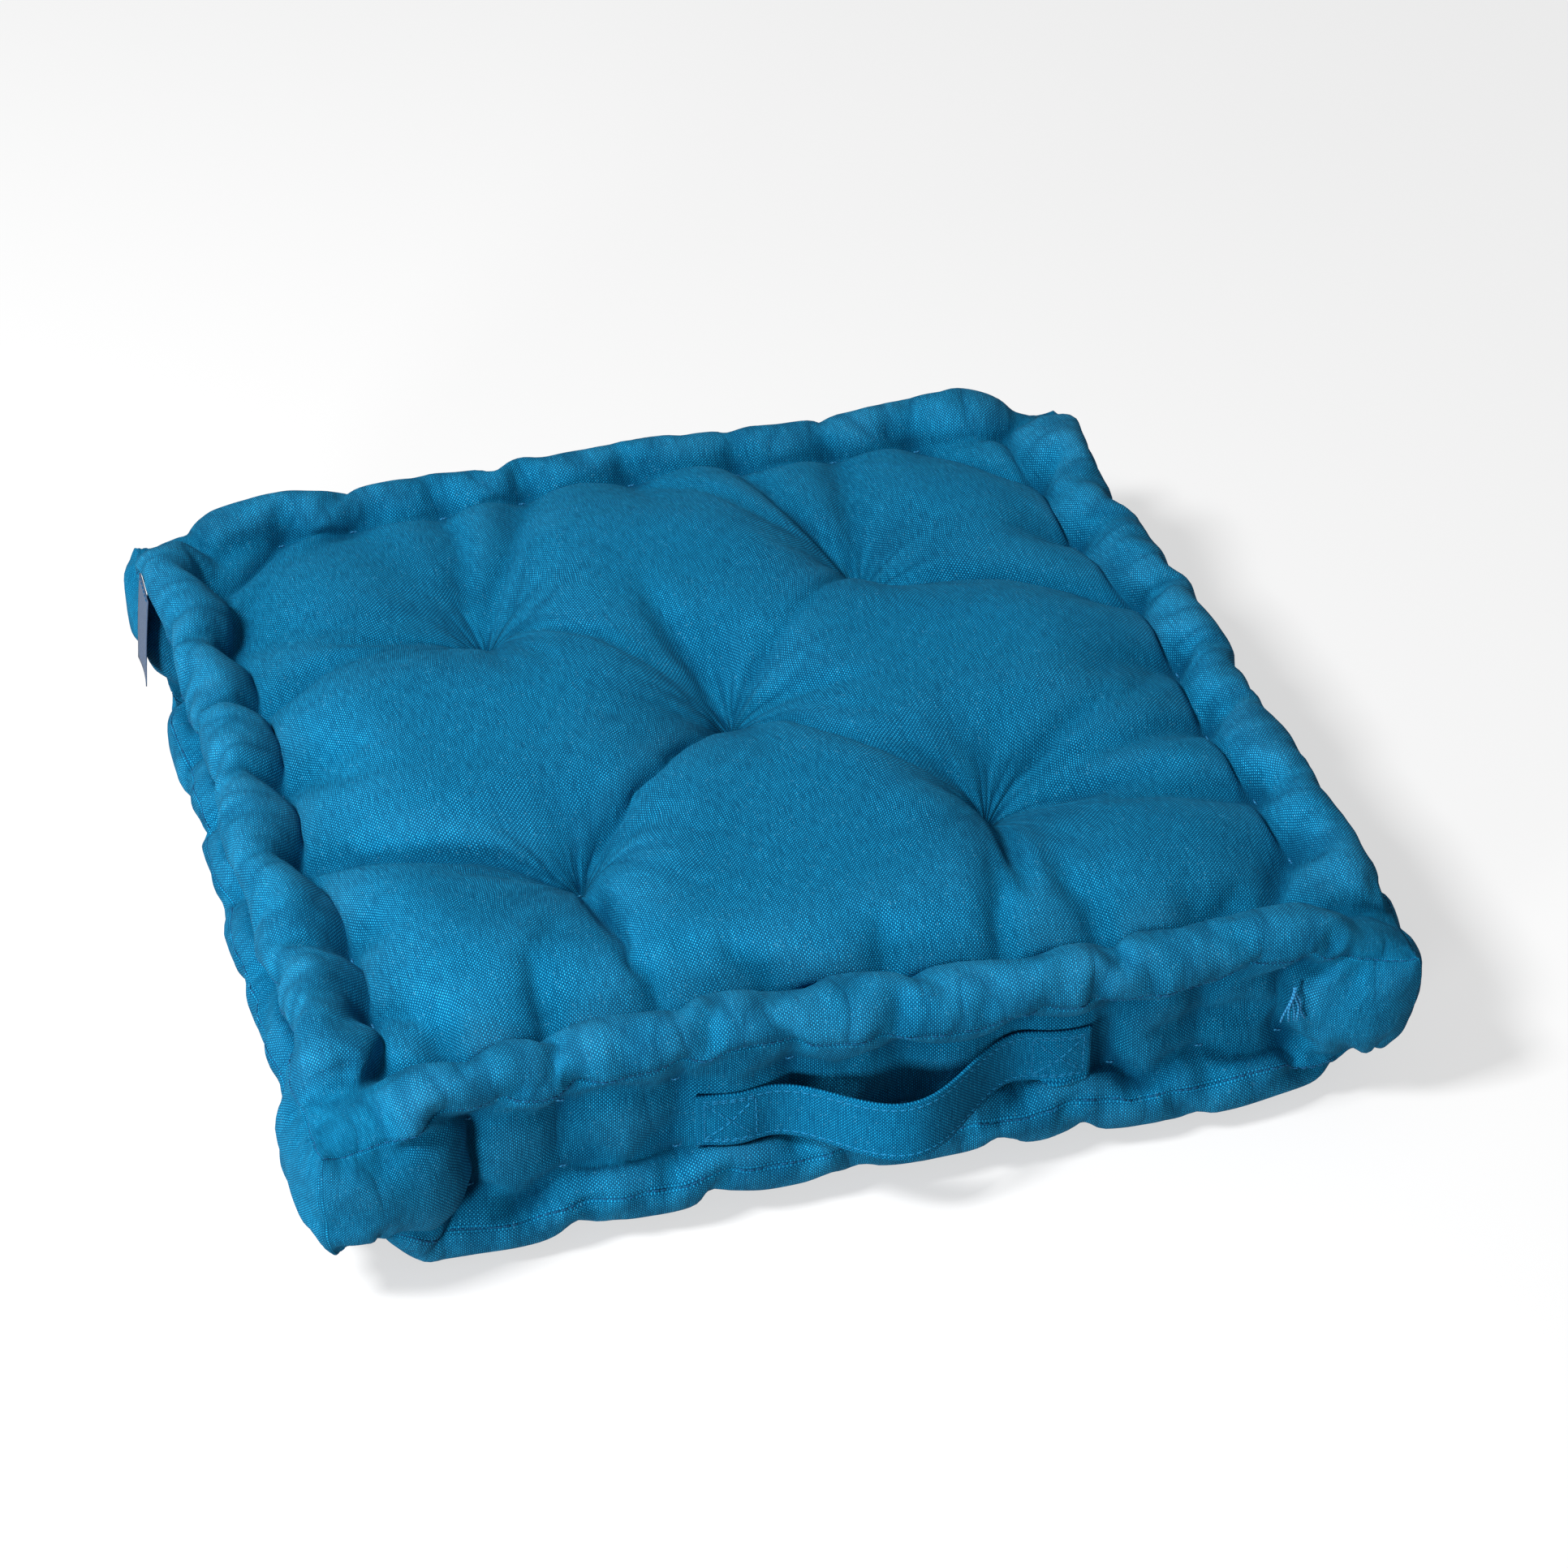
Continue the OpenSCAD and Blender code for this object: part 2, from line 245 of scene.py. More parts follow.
def pattern_points():
    """The cover as it is cut: flat panels with the band standing between them."""
    axis = np.linspace(-PATTERN, PATTERN, N + 1)
    x, y = np.meshgrid(axis, axis, indexing="ij")
    top = np.stack([x, y, np.full_like(x, BAND_CLOTH)], axis=2)
    bottom = np.stack([x, y, np.zeros_like(x)], axis=2)
    edge = np.array([top[c] for c in border_cells(N)])
    band = np.repeat(edge[:, None], M + 1, axis=1)
    band[:, :, 2] = np.linspace(0, BAND_CLOTH, M + 1)
    return flat_list(top, bottom, band)


def sampled(grid, rows, columns):
    """A grid's points at fractional rows and columns."""

    def along(values, places):
        low = np.minimum(places.astype(int), len(values) - 2)
        share = (places - low).reshape(-1, *[1] * (values.ndim - 1))
        return values[low] * (1 - share) + values[low + 1] * share

    across = along(grid, rows)
    return np.swapaxes(along(np.swapaxes(across, 0, 1), columns), 0, 1)


# ---- where the threads pull
def between(places, i):
    """How far i is from the nearest of some places: 0 at one of them, 1 midway between two."""
    k = int(np.clip(np.searchsorted(places, i), 1, len(places) - 1))
    t = (i - places[k - 1]) / (places[k] - places[k - 1])
    return 4 * t * (1 - t)


def lattice_row(place):
    """The row of the lattice that ends up at a place along x or y."""
    return round((place * EASE + PATTERN) / CELL_USED)


def place_of(row):
    """Where a row of the lattice ends up along x or y."""
    return (row * CELL_USED - PATTERN) / EASE


class Pulls:
    """What the threads do: places is {vertex: (where it is pulled to, how firmly)}."""

    def __init__(self, top, bottom, band):
        self.top, self.bottom, self.band = top, bottom, band
        self.places = {}

    def pull(self, vertex, place, firmness=1.0):
        """Pulls a point of the cloth, unless a firmer pull holds it already."""
        if firmness >= self.places.get(vertex, (None, 0))[1]:
            self.places[vertex] = (place, firmness)

    def panels(self, side, cell, along, out, z, firmness=1.0):
        """Pulls a point of the top panel, and its mirror image on the bottom one."""
        self.pull(self.top[cell], on_side(side, along, out, z), firmness)
        self.pull(self.bottom[cell], on_side(side, along, out, HEIGHT - z), firmness)

    def band_rows(self, side, i, along, out, z, firmness=1.0):
        """Pulls the points of the band's upper and lower row in column i of a side."""
        column = self.band[band_column(side, i)]
        self.pull(column[M - UNDER_ROW], on_side(side, along, out, z), firmness)
        self.pull(column[UNDER_ROW], on_side(side, along, out, HEIGHT - z), firmness)

    def between_rows(self, side, i, along, out, firmness):
        """Pulls the points between those two rows into an upright line."""
        column = self.band[band_column(side, i)]
        for k in range(UNDER_ROW + 1, M - UNDER_ROW):
            share = (k - UNDER_ROW) / (M - 2 * UNDER_ROW)
            z = HEIGHT - UNDER_Z + share * (2 * UNDER_Z - HEIGHT)
            self.pull(column[k], on_side(side, along, out, z), firmness)

    def stitch(self, side, i, along, out):
        """One roll stitch: the groove, the roll's crest, the band, and the crease down it."""
        self.panels(side, panel_cell(side, i, GROOVE_ROW), along, out, STITCH_Z)
        crest_out = (out + HALF) / 2 + PINCH_SHIFT
        crest = panel_cell(side, i, GROOVE_ROW // 2)
        self.panels(side, crest, along, crest_out, PINCH_Z, PINCH_FIRMNESS)
        self.band_rows(side, i, along, UNDER_OUT, UNDER_Z)
        self.between_rows(side, i, along, CREASE_OUT, CREASE_FIRMNESS)

    def side_rows(self, side):
        """A side's stitches, then its groove and the rows in the band between them."""
        alongs = [along * MM for along, _ in STITCHES[side]]
        outs = [out * MM for _, out in STITCHES[side]]
        rows = [lattice_row(along) for along in alongs]
        for i, along, out in zip(rows, alongs, outs):
            self.stitch(side, i, along, out)
        ends = [GROOVE_ROW, *rows, N - GROOVE_ROW]
        end_alongs = [-GROOVE_CORNER, *alongs, GROOVE_CORNER]
        end_outs = [GROOVE_CORNER + GROOVE_SLACK, *outs, GROOVE_CORNER + GROOVE_SLACK]
        for i in range(GROOVE_ROW, N - GROOVE_ROW + 1):
            along = np.interp(i, ends, end_alongs)
            hump = between(ends, i)
            out = np.interp(i, ends, end_outs) - GROOVE_SLACK
            z = STITCH_Z + (GROOVE_Z - STITCH_Z) * hump
            self.panels(side, panel_cell(side, i, GROOVE_ROW), along, out, z, GROOVE_FIRMNESS)
            if rows[0] <= i <= rows[-1]:
                out = UNDER_OUT + (UNDER_SLACK_OUT - UNDER_OUT) * hump
                self.band_rows(side, i, along, out, UNDER_Z + SLACK_RISE * hump, SLACK_FIRMNESS)

    def tufts(self):
        """Draws the two panels together where a thread runs through the cushion."""
        for x, y in TUFT_PLACES:
            cell = lattice_row(x), lattice_row(y)
            self.pull(self.top[cell], (x, y, TUFT_Z))
            self.pull(self.bottom[cell], (x, y, HEIGHT - TUFT_Z))

    def label_seam(self):
        """Keeps the seam where the labels hang from it."""
        for i in range(lattice_row(LABEL_LOW.y), lattice_row(LABEL_HIGH.y) + 1):
            seam = self.top[panel_cell("left", i, 0)]
            self.pull(seam, on_side("left", place_of(i), HALF, LABEL_HIGH.z + LABEL_SEAM_RISE))

    def strap_ends(self):
        """Keeps the band flat under the strap's sewn ends."""
        for low, high in ((LEFT_END[0].x, LOOP_LEFT), (LOOP_RIGHT, RIGHT_END[1].x)):
            for i in range(lattice_row(low) + 1, lattice_row(high)):
                self.between_rows("front", i, place_of(i), BAND_OUT, STRAP_FIRMNESS)

    def corners(self):
        """Draws out the corners of the two seams."""
        for (x, y), (tip, foot) in CORNERS.items():
            cell = (N if x > 0 else 0), (N if y > 0 else 0)
            self.pull(self.top[cell], tip, TIP_FIRMNESS)
            self.pull(self.bottom[cell], foot, FOOT_FIRMNESS)


def pull_list(top, bottom, band):
    """{vertex: (place, firmness)} for everything that holds the cloth."""
    pulls = Pulls(top, bottom, band)
    for side in SIDES:
        pulls.side_rows(side)
    pulls.tufts()
    pulls.label_seam()
    pulls.strap_ends()
    pulls.corners()
    return pulls.places


def take_up(point):
    """How much of the cloth at a point of the pattern gathers, which is most at the corners."""
    hair, early, late = 1e-6, 0.004, 0.014
    far, near = sorted((abs(point[0]), abs(point[1])))[::-1]
    on_band = far > PATTERN - hair and hair < point[2] < BAND_CLOTH - hair
    panel = FOOT_TAKE_UP if point[2] < BAND_CLOTH / 2 else CORNER_TAKE_UP
    roll = PATTERN - ROLL_CLOTH
    low, high = roll - early, roll + late
    share = (near - low) / (high - low)
    return (POST_TAKE_UP if on_band else panel) * min(max(share, 0), 1)


def press_plane(name, z, facing_down):
    """A plane that the cloth can't pass. Its skin is as thick as it stands back."""
    reach, skin, friction = 6.0, 0.004 * SOLVER_SCALE, 5
    z = z * SOLVER_SCALE + (skin if facing_down else -skin)
    corners = [(-reach, -reach, z), (reach, -reach, z), (reach, reach, z), (-reach, reach, z)]
    order = (3, 2, 1, 0) if facing_down else (0, 1, 2, 3)
    mesh = bpy.data.meshes.new(name)
    mesh.from_pydata(corners, [], [order])
    plane = bpy.data.objects.new(name, mesh)
    bpy.context.scene.collection.objects.link(plane)
    plane.modifiers.new("collision", "COLLISION")
    plane.collision.thickness_outer = skin
    plane.collision.cloth_friction = friction
    return plane


def cloth_object(start, sewn, faces):
    """The cloth, with a shape key that moves its points to where the threads pull them."""
    mesh = bpy.data.meshes.new("cloth")
    mesh.from_pydata((start * SOLVER_SCALE).tolist(), [], faces.tolist())
    cloth = bpy.data.objects.new("cloth", mesh)
    bpy.context.scene.collection.objects.link(cloth)
    cloth.shape_key_add(name="cut")
    tight = cloth.shape_key_add(name="tight")
    tight.data.foreach_set("co", (sewn * SOLVER_SCALE).astype(np.float32).ravel())
    for value, at in ((0, 1), (1, PULL_FRAMES)):
        tight.value = value
        tight.keyframe_insert("value", frame=at)
    return cloth


def add_solver(cloth, rest, pulls):
    """The cloth modifier, with the points that are held and those that gather."""
    gathers = cloth.vertex_groups.new(name="gathers")
    for v, point in enumerate(rest):
        share = take_up(point)
        if share > 0:
            gathers.add([v], share / MAX_TAKE_UP, "REPLACE")
    held = cloth.vertex_groups.new(name="held")
    for v, (_, firmness) in pulls.items():
        held.add([int(v)], firmness, "REPLACE")
    modifier = cloth.modifiers.new("cloth", "CLOTH")
    for name, value in CLOTH_SETTINGS.items():
        setattr(modifier.settings, name, value)
    modifier.settings.effector_weights.gravity = 0
    modifier.collision_settings.use_collision = True
    modifier.collision_settings.distance_min = CLEARANCE * SOLVER_SCALE
    modifier.collision_settings.use_self_collision = False
    modifier.point_cache.frame_start = 1
    modifier.point_cache.frame_end = LAST_FRAME


def solved(cloth):
    """The cloth's points after the last frame."""
    scene = bpy.context.scene
    scene.frame_start, scene.frame_end = 1, LAST_FRAME
    for number in range(1, LAST_FRAME + 1):
        scene.frame_set(number)
    shaped = cloth.evaluated_get(bpy.context.evaluated_depsgraph_get()).data
    points = np.empty(len(shaped.vertices) * 3, np.float32)
    shaped.vertices.foreach_get("co", points)
    return points.reshape(-1, 3).astype(float) / SOLVER_SCALE


def sewn_points(rest, faces, pulls):
    """The cloth after it is filled and its threads are pulled tight."""
    jitter = np.random.default_rng(3).normal(0, UNEVENNESS, rest.shape)
    jitter[list(pulls)] = 0
    start = rest + jitter
    sewn = start.copy()
    for vertex, (place, _) in pulls.items():
        sewn[vertex] = place
    cloth = cloth_object(start, sewn, faces)
    add_solver(cloth, rest, pulls)
    planes = [press_plane("ground", 0, False), press_plane("ceiling", CEILING, True)]
    points = solved(cloth)
    action = cloth.data.shape_keys.animation_data.action
    for thing in (cloth, *planes):
        data = thing.data
        bpy.data.objects.remove(thing)
        bpy.data.meshes.remove(data)
    bpy.data.actions.remove(action)
    bpy.context.scene.frame_set(1)
    return points


# ---- mesh helpers
def vertex_normals(points, faces):
    """Unit normals, each the average of the faces round a point."""
    a, b, c, d = (points[faces[:, k]] for k in range(4))
    face_normals = np.cross(c - a, d - b)
    normals = np.zeros_like(points)
    for k in range(4):
        np.add.at(normals, faces[:, k], face_normals)
    return normals / np.maximum(np.linalg.norm(normals, axis=1, keepdims=True), 1e-12)


def averaged(values, faces):
    """Values at the points of a mesh, each averaged over the faces round it."""
    total, count = np.zeros_like(values), np.zeros_like(values)
    means = values[faces].mean(axis=1)
    for k in range(4):
        np.add.at(total, faces[:, k], means)
        np.add.at(count, faces[:, k], 1)
    return total / count


def new_piece(name, points, faces, material, uv=None):
    """A smooth-shaded object. uv holds one pair for each corner of each face, in metres."""
    mesh = bpy.data.meshes.new(name)
    mesh.from_pydata([tuple(p) for p in points], [], [tuple(map(int, f)) for f in faces])
    if uv is not None:
        layer = mesh.uv_layers.new(name="thread_lines")
        layer.data.foreach_set("uv", np.asarray(uv, np.float32).ravel())
    mesh.shade_smooth()
    mesh.materials.append(material)
    piece = bpy.data.objects.new(name, mesh)
    bpy.context.scene.collection.objects.link(piece)
    return piece


def tube(path, radius, sides=6, taper=0.45):
    """(points, faces, uv) of a round tube with narrowed, closed ends."""
    path = np.asarray(path, float)
    run = np.gradient(path, axis=0)
    run /= np.maximum(np.linalg.norm(run, axis=1, keepdims=True), 1e-12)
    across = np.cross(run[0], (0.31, 0.22, 0.92))
    rings = []
    lengths = np.concatenate([[0], np.cumsum(np.linalg.norm(np.diff(path, axis=0), axis=1))])
    for k, (point, along) in enumerate(zip(path, run)):
        across = across - along * (across @ along)
        across = across / max(np.linalg.norm(across), 1e-12)
        other = np.cross(along, across)
        r = radius * (taper if k in (0, len(path) - 1) else 1)
        turns = [2 * math.pi * s / sides for s in range(sides)]
        rings += [point + r * (math.cos(t) * across + math.sin(t) * other) for t in turns]
    faces, uv = [], []
    for k in range(len(path) - 1):
        for s in range(sides):
            e = (s + 1) % sides
            low, high = k * sides, (k + 1) * sides
            faces.append((low + s, low + e, high + e, high + s))
            v0, v1 = s / sides * THREAD_TURN, (s + 1) / sides * THREAD_TURN
            u0, u1 = lengths[k], lengths[k + 1]
            uv.append(((u0, v0), (u0, v1), (u1, v1), (u1, v0)))
    last = (len(path) - 1) * sides
    for centre, base, order in ((path[0], 0, -1), (path[-1], last, 1)):
        rings.append(centre)
        tip = len(rings) - 1
        for s in range(sides):
            pair = (base + s, base + (s + 1) % sides)[::order]
            faces.append((*pair, tip, tip))
            uv.append(((0, 0),) * 4)
    return rings, faces, uv


def joined(tubes):
    """Several (points, faces, uv) as one; a face that ends in a repeated corner is a triangle."""
    points, faces, uv = [], [], []
    for part_points, part_faces, part_uv in tubes:
        base = len(points)
        points += list(part_points)
        for face, corners in zip(part_faces, part_uv):
            count = 3 if face[2] == face[3] else 4
            faces.append([base + v for v in face[:count]])
            uv += list(corners[:count])
    return points, faces, uv


def resampled(path, spacing):
    """Points at an even spacing along a path."""
    path = np.asarray(path, float)
    lengths = np.concatenate([[0], np.cumsum(np.linalg.norm(np.diff(path, axis=0), axis=1))])
    count = max(2, round(lengths[-1] / spacing) + 1)
    places = np.linspace(0, lengths[-1], count)
    return np.stack([np.interp(places, lengths, path[:, k]) for k in range(3)], axis=1)


def stitch_row(path, lifts, length=0.0030, gap=0.0006, radius=0.00028):
    """Machine stitches along a path. lifts are unit vectors away from the cloth."""
    inset = gap / (length + gap) / 2
    stops = (inset, 0.3, 0.7, 1 - inset)
    heights = (-0.6 * radius, 0.55 * radius, 0.55 * radius, -0.6 * radius)
    tubes = []
    fine = resampled(path, (length + gap) / 4)
    places = np.linspace(0, len(path) - 1, len(fine))
    lift = np.stack([np.interp(places, range(len(path)), lifts[:, k]) for k in range(3)], axis=1)
    for k in range(0, len(fine) - 4, 4):
        start, end, up = fine[k], fine[k + 4], lift[k + 2]
        arc = [start + (end - start) * s + up * h for s, h in zip(stops, heights)]
        tubes.append(tube(arc, radius))
    return tubes


# ---- materials
THREAD_TURN = 0.001  # the thread coordinate that takes one turn round a thread


class Nodes:
    """The nodes of one material. Most methods add a node and give its output."""

    def __init__(self, name, roughness, sheen=0.0, sheen_tint=(1, 1, 1), specular=0.25):
        self.material = bpy.data.materials.new(name)
        self.material.use_nodes = True
        self.tree = self.material.node_tree
        self.shader = self.tree.nodes["Principled BSDF"]
        same_all_over = {
            "Roughness": roughness,
            "Sheen Weight": sheen,
            "Sheen Roughness": 0.45,
            "Sheen Tint": (*sheen_tint, 1),
            "Specular IOR Level": specular,
        }
        for socket, value in same_all_over.items():
            self.shader.inputs[socket].default_value = value

    def feed(self, socket, value):
        """Links a socket, or sets its value."""
        if isinstance(value, bpy.types.NodeSocket):
            self.tree.links.new(value, socket)
        else:
            socket.default_value = value

    def node(self, kind, inputs=(), **settings):
        """A node, its settings made by attribute and its inputs fed in order or by name."""
        node = self.tree.nodes.new(kind)
        for name, value in settings.items():
            setattr(node, name, value)
        named = inputs if isinstance(inputs, dict) else dict(enumerate(inputs))
        for key, value in named.items():
            self.feed(node.inputs[key], value)
        return node

    def maths(self, operation, *values):
        return self.node("ShaderNodeMath", values, operation=operation).outputs[0]

    def plus(self, first, second):
        return self.maths("ADD", first, second)

    def minus(self, first, second):
        return self.maths("SUBTRACT", first, second)

    def times(self, first, second):
        return self.maths("MULTIPLY", first, second)

    def times_plus(self, first, second, third):
        return self.maths("MULTIPLY_ADD", first, second, third)

    def absolute(self, value):
        return self.maths("ABSOLUTE", value)

    def mixed(self, share, first, second):
        """A colour that share of the second and the rest of the first make."""
        node = self.node("ShaderNodeMix", (share,), data_type="RGBA")
        for name, value in (("A", first), ("B", second)):
            self.feed(next(s for s in node.inputs if s.name == name and s.type == "RGBA"), value)
        return next(s for s in node.outputs if s.type == "RGBA")

    def noise(self, vector, scale, detail=2.0, roughness=0.5):
        inputs = {"Vector": vector, "Scale": scale, "Detail": detail, "Roughness": roughness}
        return self.node("ShaderNodeTexNoise", inputs).outputs["Fac"]

    def vector(self, x, y, z=0.0):
        return self.node("ShaderNodeCombineXYZ", (x, y, z)).outputs[0]

    def length(self, x, y):
        node = self.node("ShaderNodeVectorMath", (self.vector(x, y),), operation="LENGTH")
        return node.outputs["Value"]

    def ranged(self, value, low, high, new_low=0.0, new_high=1.0):
        return self.node("ShaderNodeMapRange", (value, low, high, new_low, new_high)).outputs[0]

    def ridged(self, value):
        """0 along the creases of a noise, and up to 1 between them."""
        return self.times(self.absolute(self.minus(value, 0.5)), 4.0)

    def mask(self, name):
        return self.node("ShaderNodeAttribute", attribute_name=name).outputs["Fac"]

    def thread_lines(self):
        """The two coordinates of the cloth's own thread directions, in metres."""
        uv = self.node("ShaderNodeUVMap", uv_map="thread_lines")
        split = self.node("ShaderNodeSeparateXYZ", (uv.outputs[0],))
        return split.outputs[0], split.outputs[1]

    def colour(self, value):
        """Gives the surface its colour."""
        self.feed(self.shader.inputs["Base Color"], value)

    def relief(self, height, distance, strength=1.0, under=None):
        """Relief on the surface. under is the output of a coarser relief that it lies on."""
        inputs = {"Strength": strength, "Distance": distance, "Height": height}
        if under:
            inputs["Normal"] = under
        node = self.node("ShaderNodeBump", inputs)
        self.feed(self.shader.inputs["Normal"], node.outputs[0])
        return node.outputs[0]


def plain_weave(nodes, pitch):
    """(height, which thread is on top, x and y in threads) of a plain weave."""
    u, v = nodes.thread_lines()
    x, y = nodes.maths("DIVIDE", u, pitch), nodes.maths("DIVIDE", v, pitch)
    cos_x = nodes.maths("COSINE", nodes.times(x, math.pi))
    cos_y = nodes.maths("COSINE", nodes.times(y, math.pi))
    over = nodes.times(cos_x, cos_y)
    warp = nodes.times(nodes.absolute(cos_x), nodes.times_plus(over, 0.45, 0.55))
    weft = nodes.times(nodes.absolute(cos_y), nodes.times_plus(over, -0.45, 0.55))
    return nodes.maths("MAXIMUM", warp, weft), over, x, y


def slubs(nodes, x, y, warp_share):
    """How thick and pale the yarn on top is, which changes slowly along it."""
    scale, stretch = 1.3, 0.07
    warp = nodes.noise(nodes.vector(x, nodes.times(y, stretch)), scale)
    weft = nodes.noise(nodes.vector(nodes.times(x, stretch), y), scale)
    weft_share = nodes.minus(1.0, warp_share)
    return nodes.plus(nodes.times(warp, warp_share), nodes.times(weft, weft_share))


def roll_puckers(nodes, u, v):
    """Short creases that run across the rolls and down the band."""
    scale, stretch, detail = 44, 0.35, 1.5
    along = nodes.ridged(nodes.noise(nodes.vector(u, nodes.times(v, stretch)), scale, detail))
    turned = nodes.ridged(nodes.noise(nodes.vector(nodes.times(u, stretch), v), scale, detail))
    return nodes.times_plus(nodes.minus(turned, along), nodes.mask("turned"), along)


def tuft_creases(nodes, u, v):
    """Creases that run out from each tuft."""
    twist, side_shift, scale, detail = 9.0, 3.0, 1.9, 1.5
    x, y = nodes.minus(u, PATTERN), nodes.minus(v, PATTERN)
    outer_x = nodes.minus(nodes.absolute(x), TUFT_REACH[0] * EASE)
    outer_y = nodes.minus(nodes.absolute(y), TUFT_REACH[1] * EASE)
    is_outer = nodes.maths("LESS_THAN", nodes.length(outer_x, outer_y), nodes.length(x, y))
    near_x = nodes.times_plus(nodes.minus(outer_x, x), is_outer, x)
    near_y = nodes.times_plus(nodes.minus(outer_y, y), is_outer, y)
    away = nodes.length(near_x, near_y)
    shift = nodes.times(nodes.maths("SIGN", x), side_shift)
    place = nodes.vector(nodes.maths("DIVIDE", near_x, away), nodes.maths("DIVIDE", near_y, away),
                         nodes.times_plus(away, twist, shift))
    return nodes.ridged(nodes.noise(place, scale, detail))


def cover_creases(nodes):
    """(height, how deep) of all the creases that are too fine for the mesh."""
    u, v = nodes.thread_lines()
    puckered, drawn_in = nodes.mask("puckered"), nodes.mask("drawn_in")
    puckers = nodes.times(roll_puckers(nodes, u, v), puckered)
    creases = nodes.times(tuft_creases(nodes, u, v), drawn_in)
    return nodes.plus(puckers, creases), nodes.plus(puckered, drawn_in)


def flecked(nodes, height, x, y, woven, fleck_and_highlight):
    """The weave with a few pale flecks, and with its crests a little paler: partly wear, partly a
    painted highlight.
    """
    cell = nodes.vector(nodes.maths("ROUND", x), nodes.maths("ROUND", y))
    lottery = nodes.node("ShaderNodeTexWhiteNoise", (cell,), noise_dimensions="2D")
    chosen = nodes.maths("GREATER_THAN", lottery.outputs["Value"], 0.99)
    flecks = nodes.mixed(nodes.times(chosen, nodes.times(height, 0.22)), woven, fleck_and_highlight)
    # painted highlight, partly wear: crests are lightened, in patches, towards the fleck colour
    patchy_wear_and_highlight = nodes.ranged(nodes.noise(nodes.vector(x, y), 0.018), 0.35, 0.75, 0.03, 0.14)
    return nodes.mixed(nodes.times(nodes.mask("crest"), patchy_wear_and_highlight), flecks, fleck_and_highlight)


def canvas(name, warp, weft, gap, fleck_and_highlight, pitch=0.00078):
    """Plain-woven cotton: a paler warp than weft, uneven yarns, dark gaps and a few flecks, with
    painted shade in its creases and hollows and a painted highlight, partly wear, on its crests.
    """
    nodes = Nodes(name, 0.95, 0.03, (0.2, 0.75, 1.0), 0.03)
    height, over, x, y = plain_weave(nodes, pitch)
    warp_share = nodes.ranged(over, -0.2, 0.2)
    slub = slubs(nodes, x, y, warp_share)
    plain = nodes.mixed(warp_share, weft, warp)
    uneven = nodes.mixed(nodes.ranged(slub, 0.3, 0.7), gap, plain)
    yarn = nodes.mixed(0.72, plain, uneven)
    woven = nodes.mixed(nodes.ranged(height, 0.25, 0.8), gap, yarn)
    worn_and_highlit = flecked(nodes, height, x, y, woven, fleck_and_highlight)
    creases, depth = cover_creases(nodes)
    # painted shade: the colour is darkened towards the gap colour at the bottom of the fine creases
    # and where the cloth folds inwards
    painted_crease_shade = nodes.times(depth, nodes.ranged(creases, 0.0, 0.20, 0.7, 0.0))
    nodes.colour(nodes.mixed(nodes.plus(painted_crease_shade, nodes.mask("painted_hollow_shade")), worn_and_highlit, gap))
    coarse = nodes.relief(creases, 0.0024, 0.9)
    nodes.relief(nodes.times_plus(slub, 0.5, height), 0.00022, 0.8, coarse)
    return nodes.material


def twine(name, colour, dark, pitch, roughness=0.7):
    """Twisted thread: its plies run round it as slanted grooves."""
    nodes = Nodes(name, roughness, 0.03, (0.8, 0.9, 1.0), 0.1)
    u, v = nodes.thread_lines()
    along = nodes.times(u, 2 * math.pi / pitch)
    around = nodes.times(v, 2 * math.pi / THREAD_TURN)
    ply = nodes.maths("SINE", nodes.plus(along, around))
    fuzz = nodes.noise(nodes.vector(u, v), 5200)
    height = nodes.plus(nodes.times(ply, 0.5), nodes.times(fuzz, 0.4))
    nodes.colour(nodes.mixed(nodes.ranged(height, -0.3, 0.6), dark, colour))
    nodes.relief(height, 0.00012, 0.7)
    return nodes.material


def satin(name, colour, dark, rib=0.00035):
    """A woven tape: fine ribs across it and a soft shine."""
    nodes = Nodes(name, 0.6, 0.03, (0.9, 0.95, 1.0), 0.12)
    u, v = nodes.thread_lines()
    ribs = nodes.maths("SINE", nodes.times(v, 2 * math.pi / rib))
    fibres = nodes.noise(nodes.vector(u, nodes.times(v, 0.1)), 3000)
    height = nodes.times_plus(ribs, 0.5, fibres)
    nodes.colour(nodes.mixed(nodes.ranged(height, -0.2, 1.0), dark, colour))
    nodes.relief(height, 0.00008, 0.6)
    return nodes.material


def fibre_wadding(name, colour, dark):
    """Loose fibre: matted noise with a long soft grain."""
    nodes = Nodes(name, 0.95, 0.5, (1, 1, 1), 0.1)
    place = nodes.node("ShaderNodeTexCoord").outputs["Object"]
    clumps = nodes.noise(place, 60, 6, 0.7)
    fibres = nodes.noise(place, 900, 3, 0.8)
    height = nodes.times_plus(fibres, 0.4, clumps)
    nodes.colour(nodes.mixed(nodes.ranged(height, 0.3, 1.0), dark, colour))
    nodes.relief(height, 0.003, 0.7)
    return nodes.material


COVER = canvas("canvas", (0.020, 0.480, 0.880, 1), (0.002, 0.140, 0.300, 1),
               (0.000, 0.026, 0.072, 1), (0.16, 0.62, 0.92, 1))
STRAP = canvas("strap_canvas", (0.014, 0.400, 0.740, 1), (0.002, 0.130, 0.280, 1),
               (0.000, 0.030, 0.085, 1), (0.14, 0.55, 0.82, 1), 0.00070)
SEAM_THREAD = twine("seam_thread", (0.006, 0.110, 0.250, 1), (0.002, 0.040, 0.110, 1), 0.0009)
TUFT_THREAD = twine("tuft_thread", (0.06, 0.34, 0.56, 1), (0.008, 0.10, 0.22, 1), 0.0016)
TAIL_THREAD = twine("tail_thread", (0.030, 0.240, 0.460, 1), (0.004, 0.070, 0.180, 1), 0.0016)
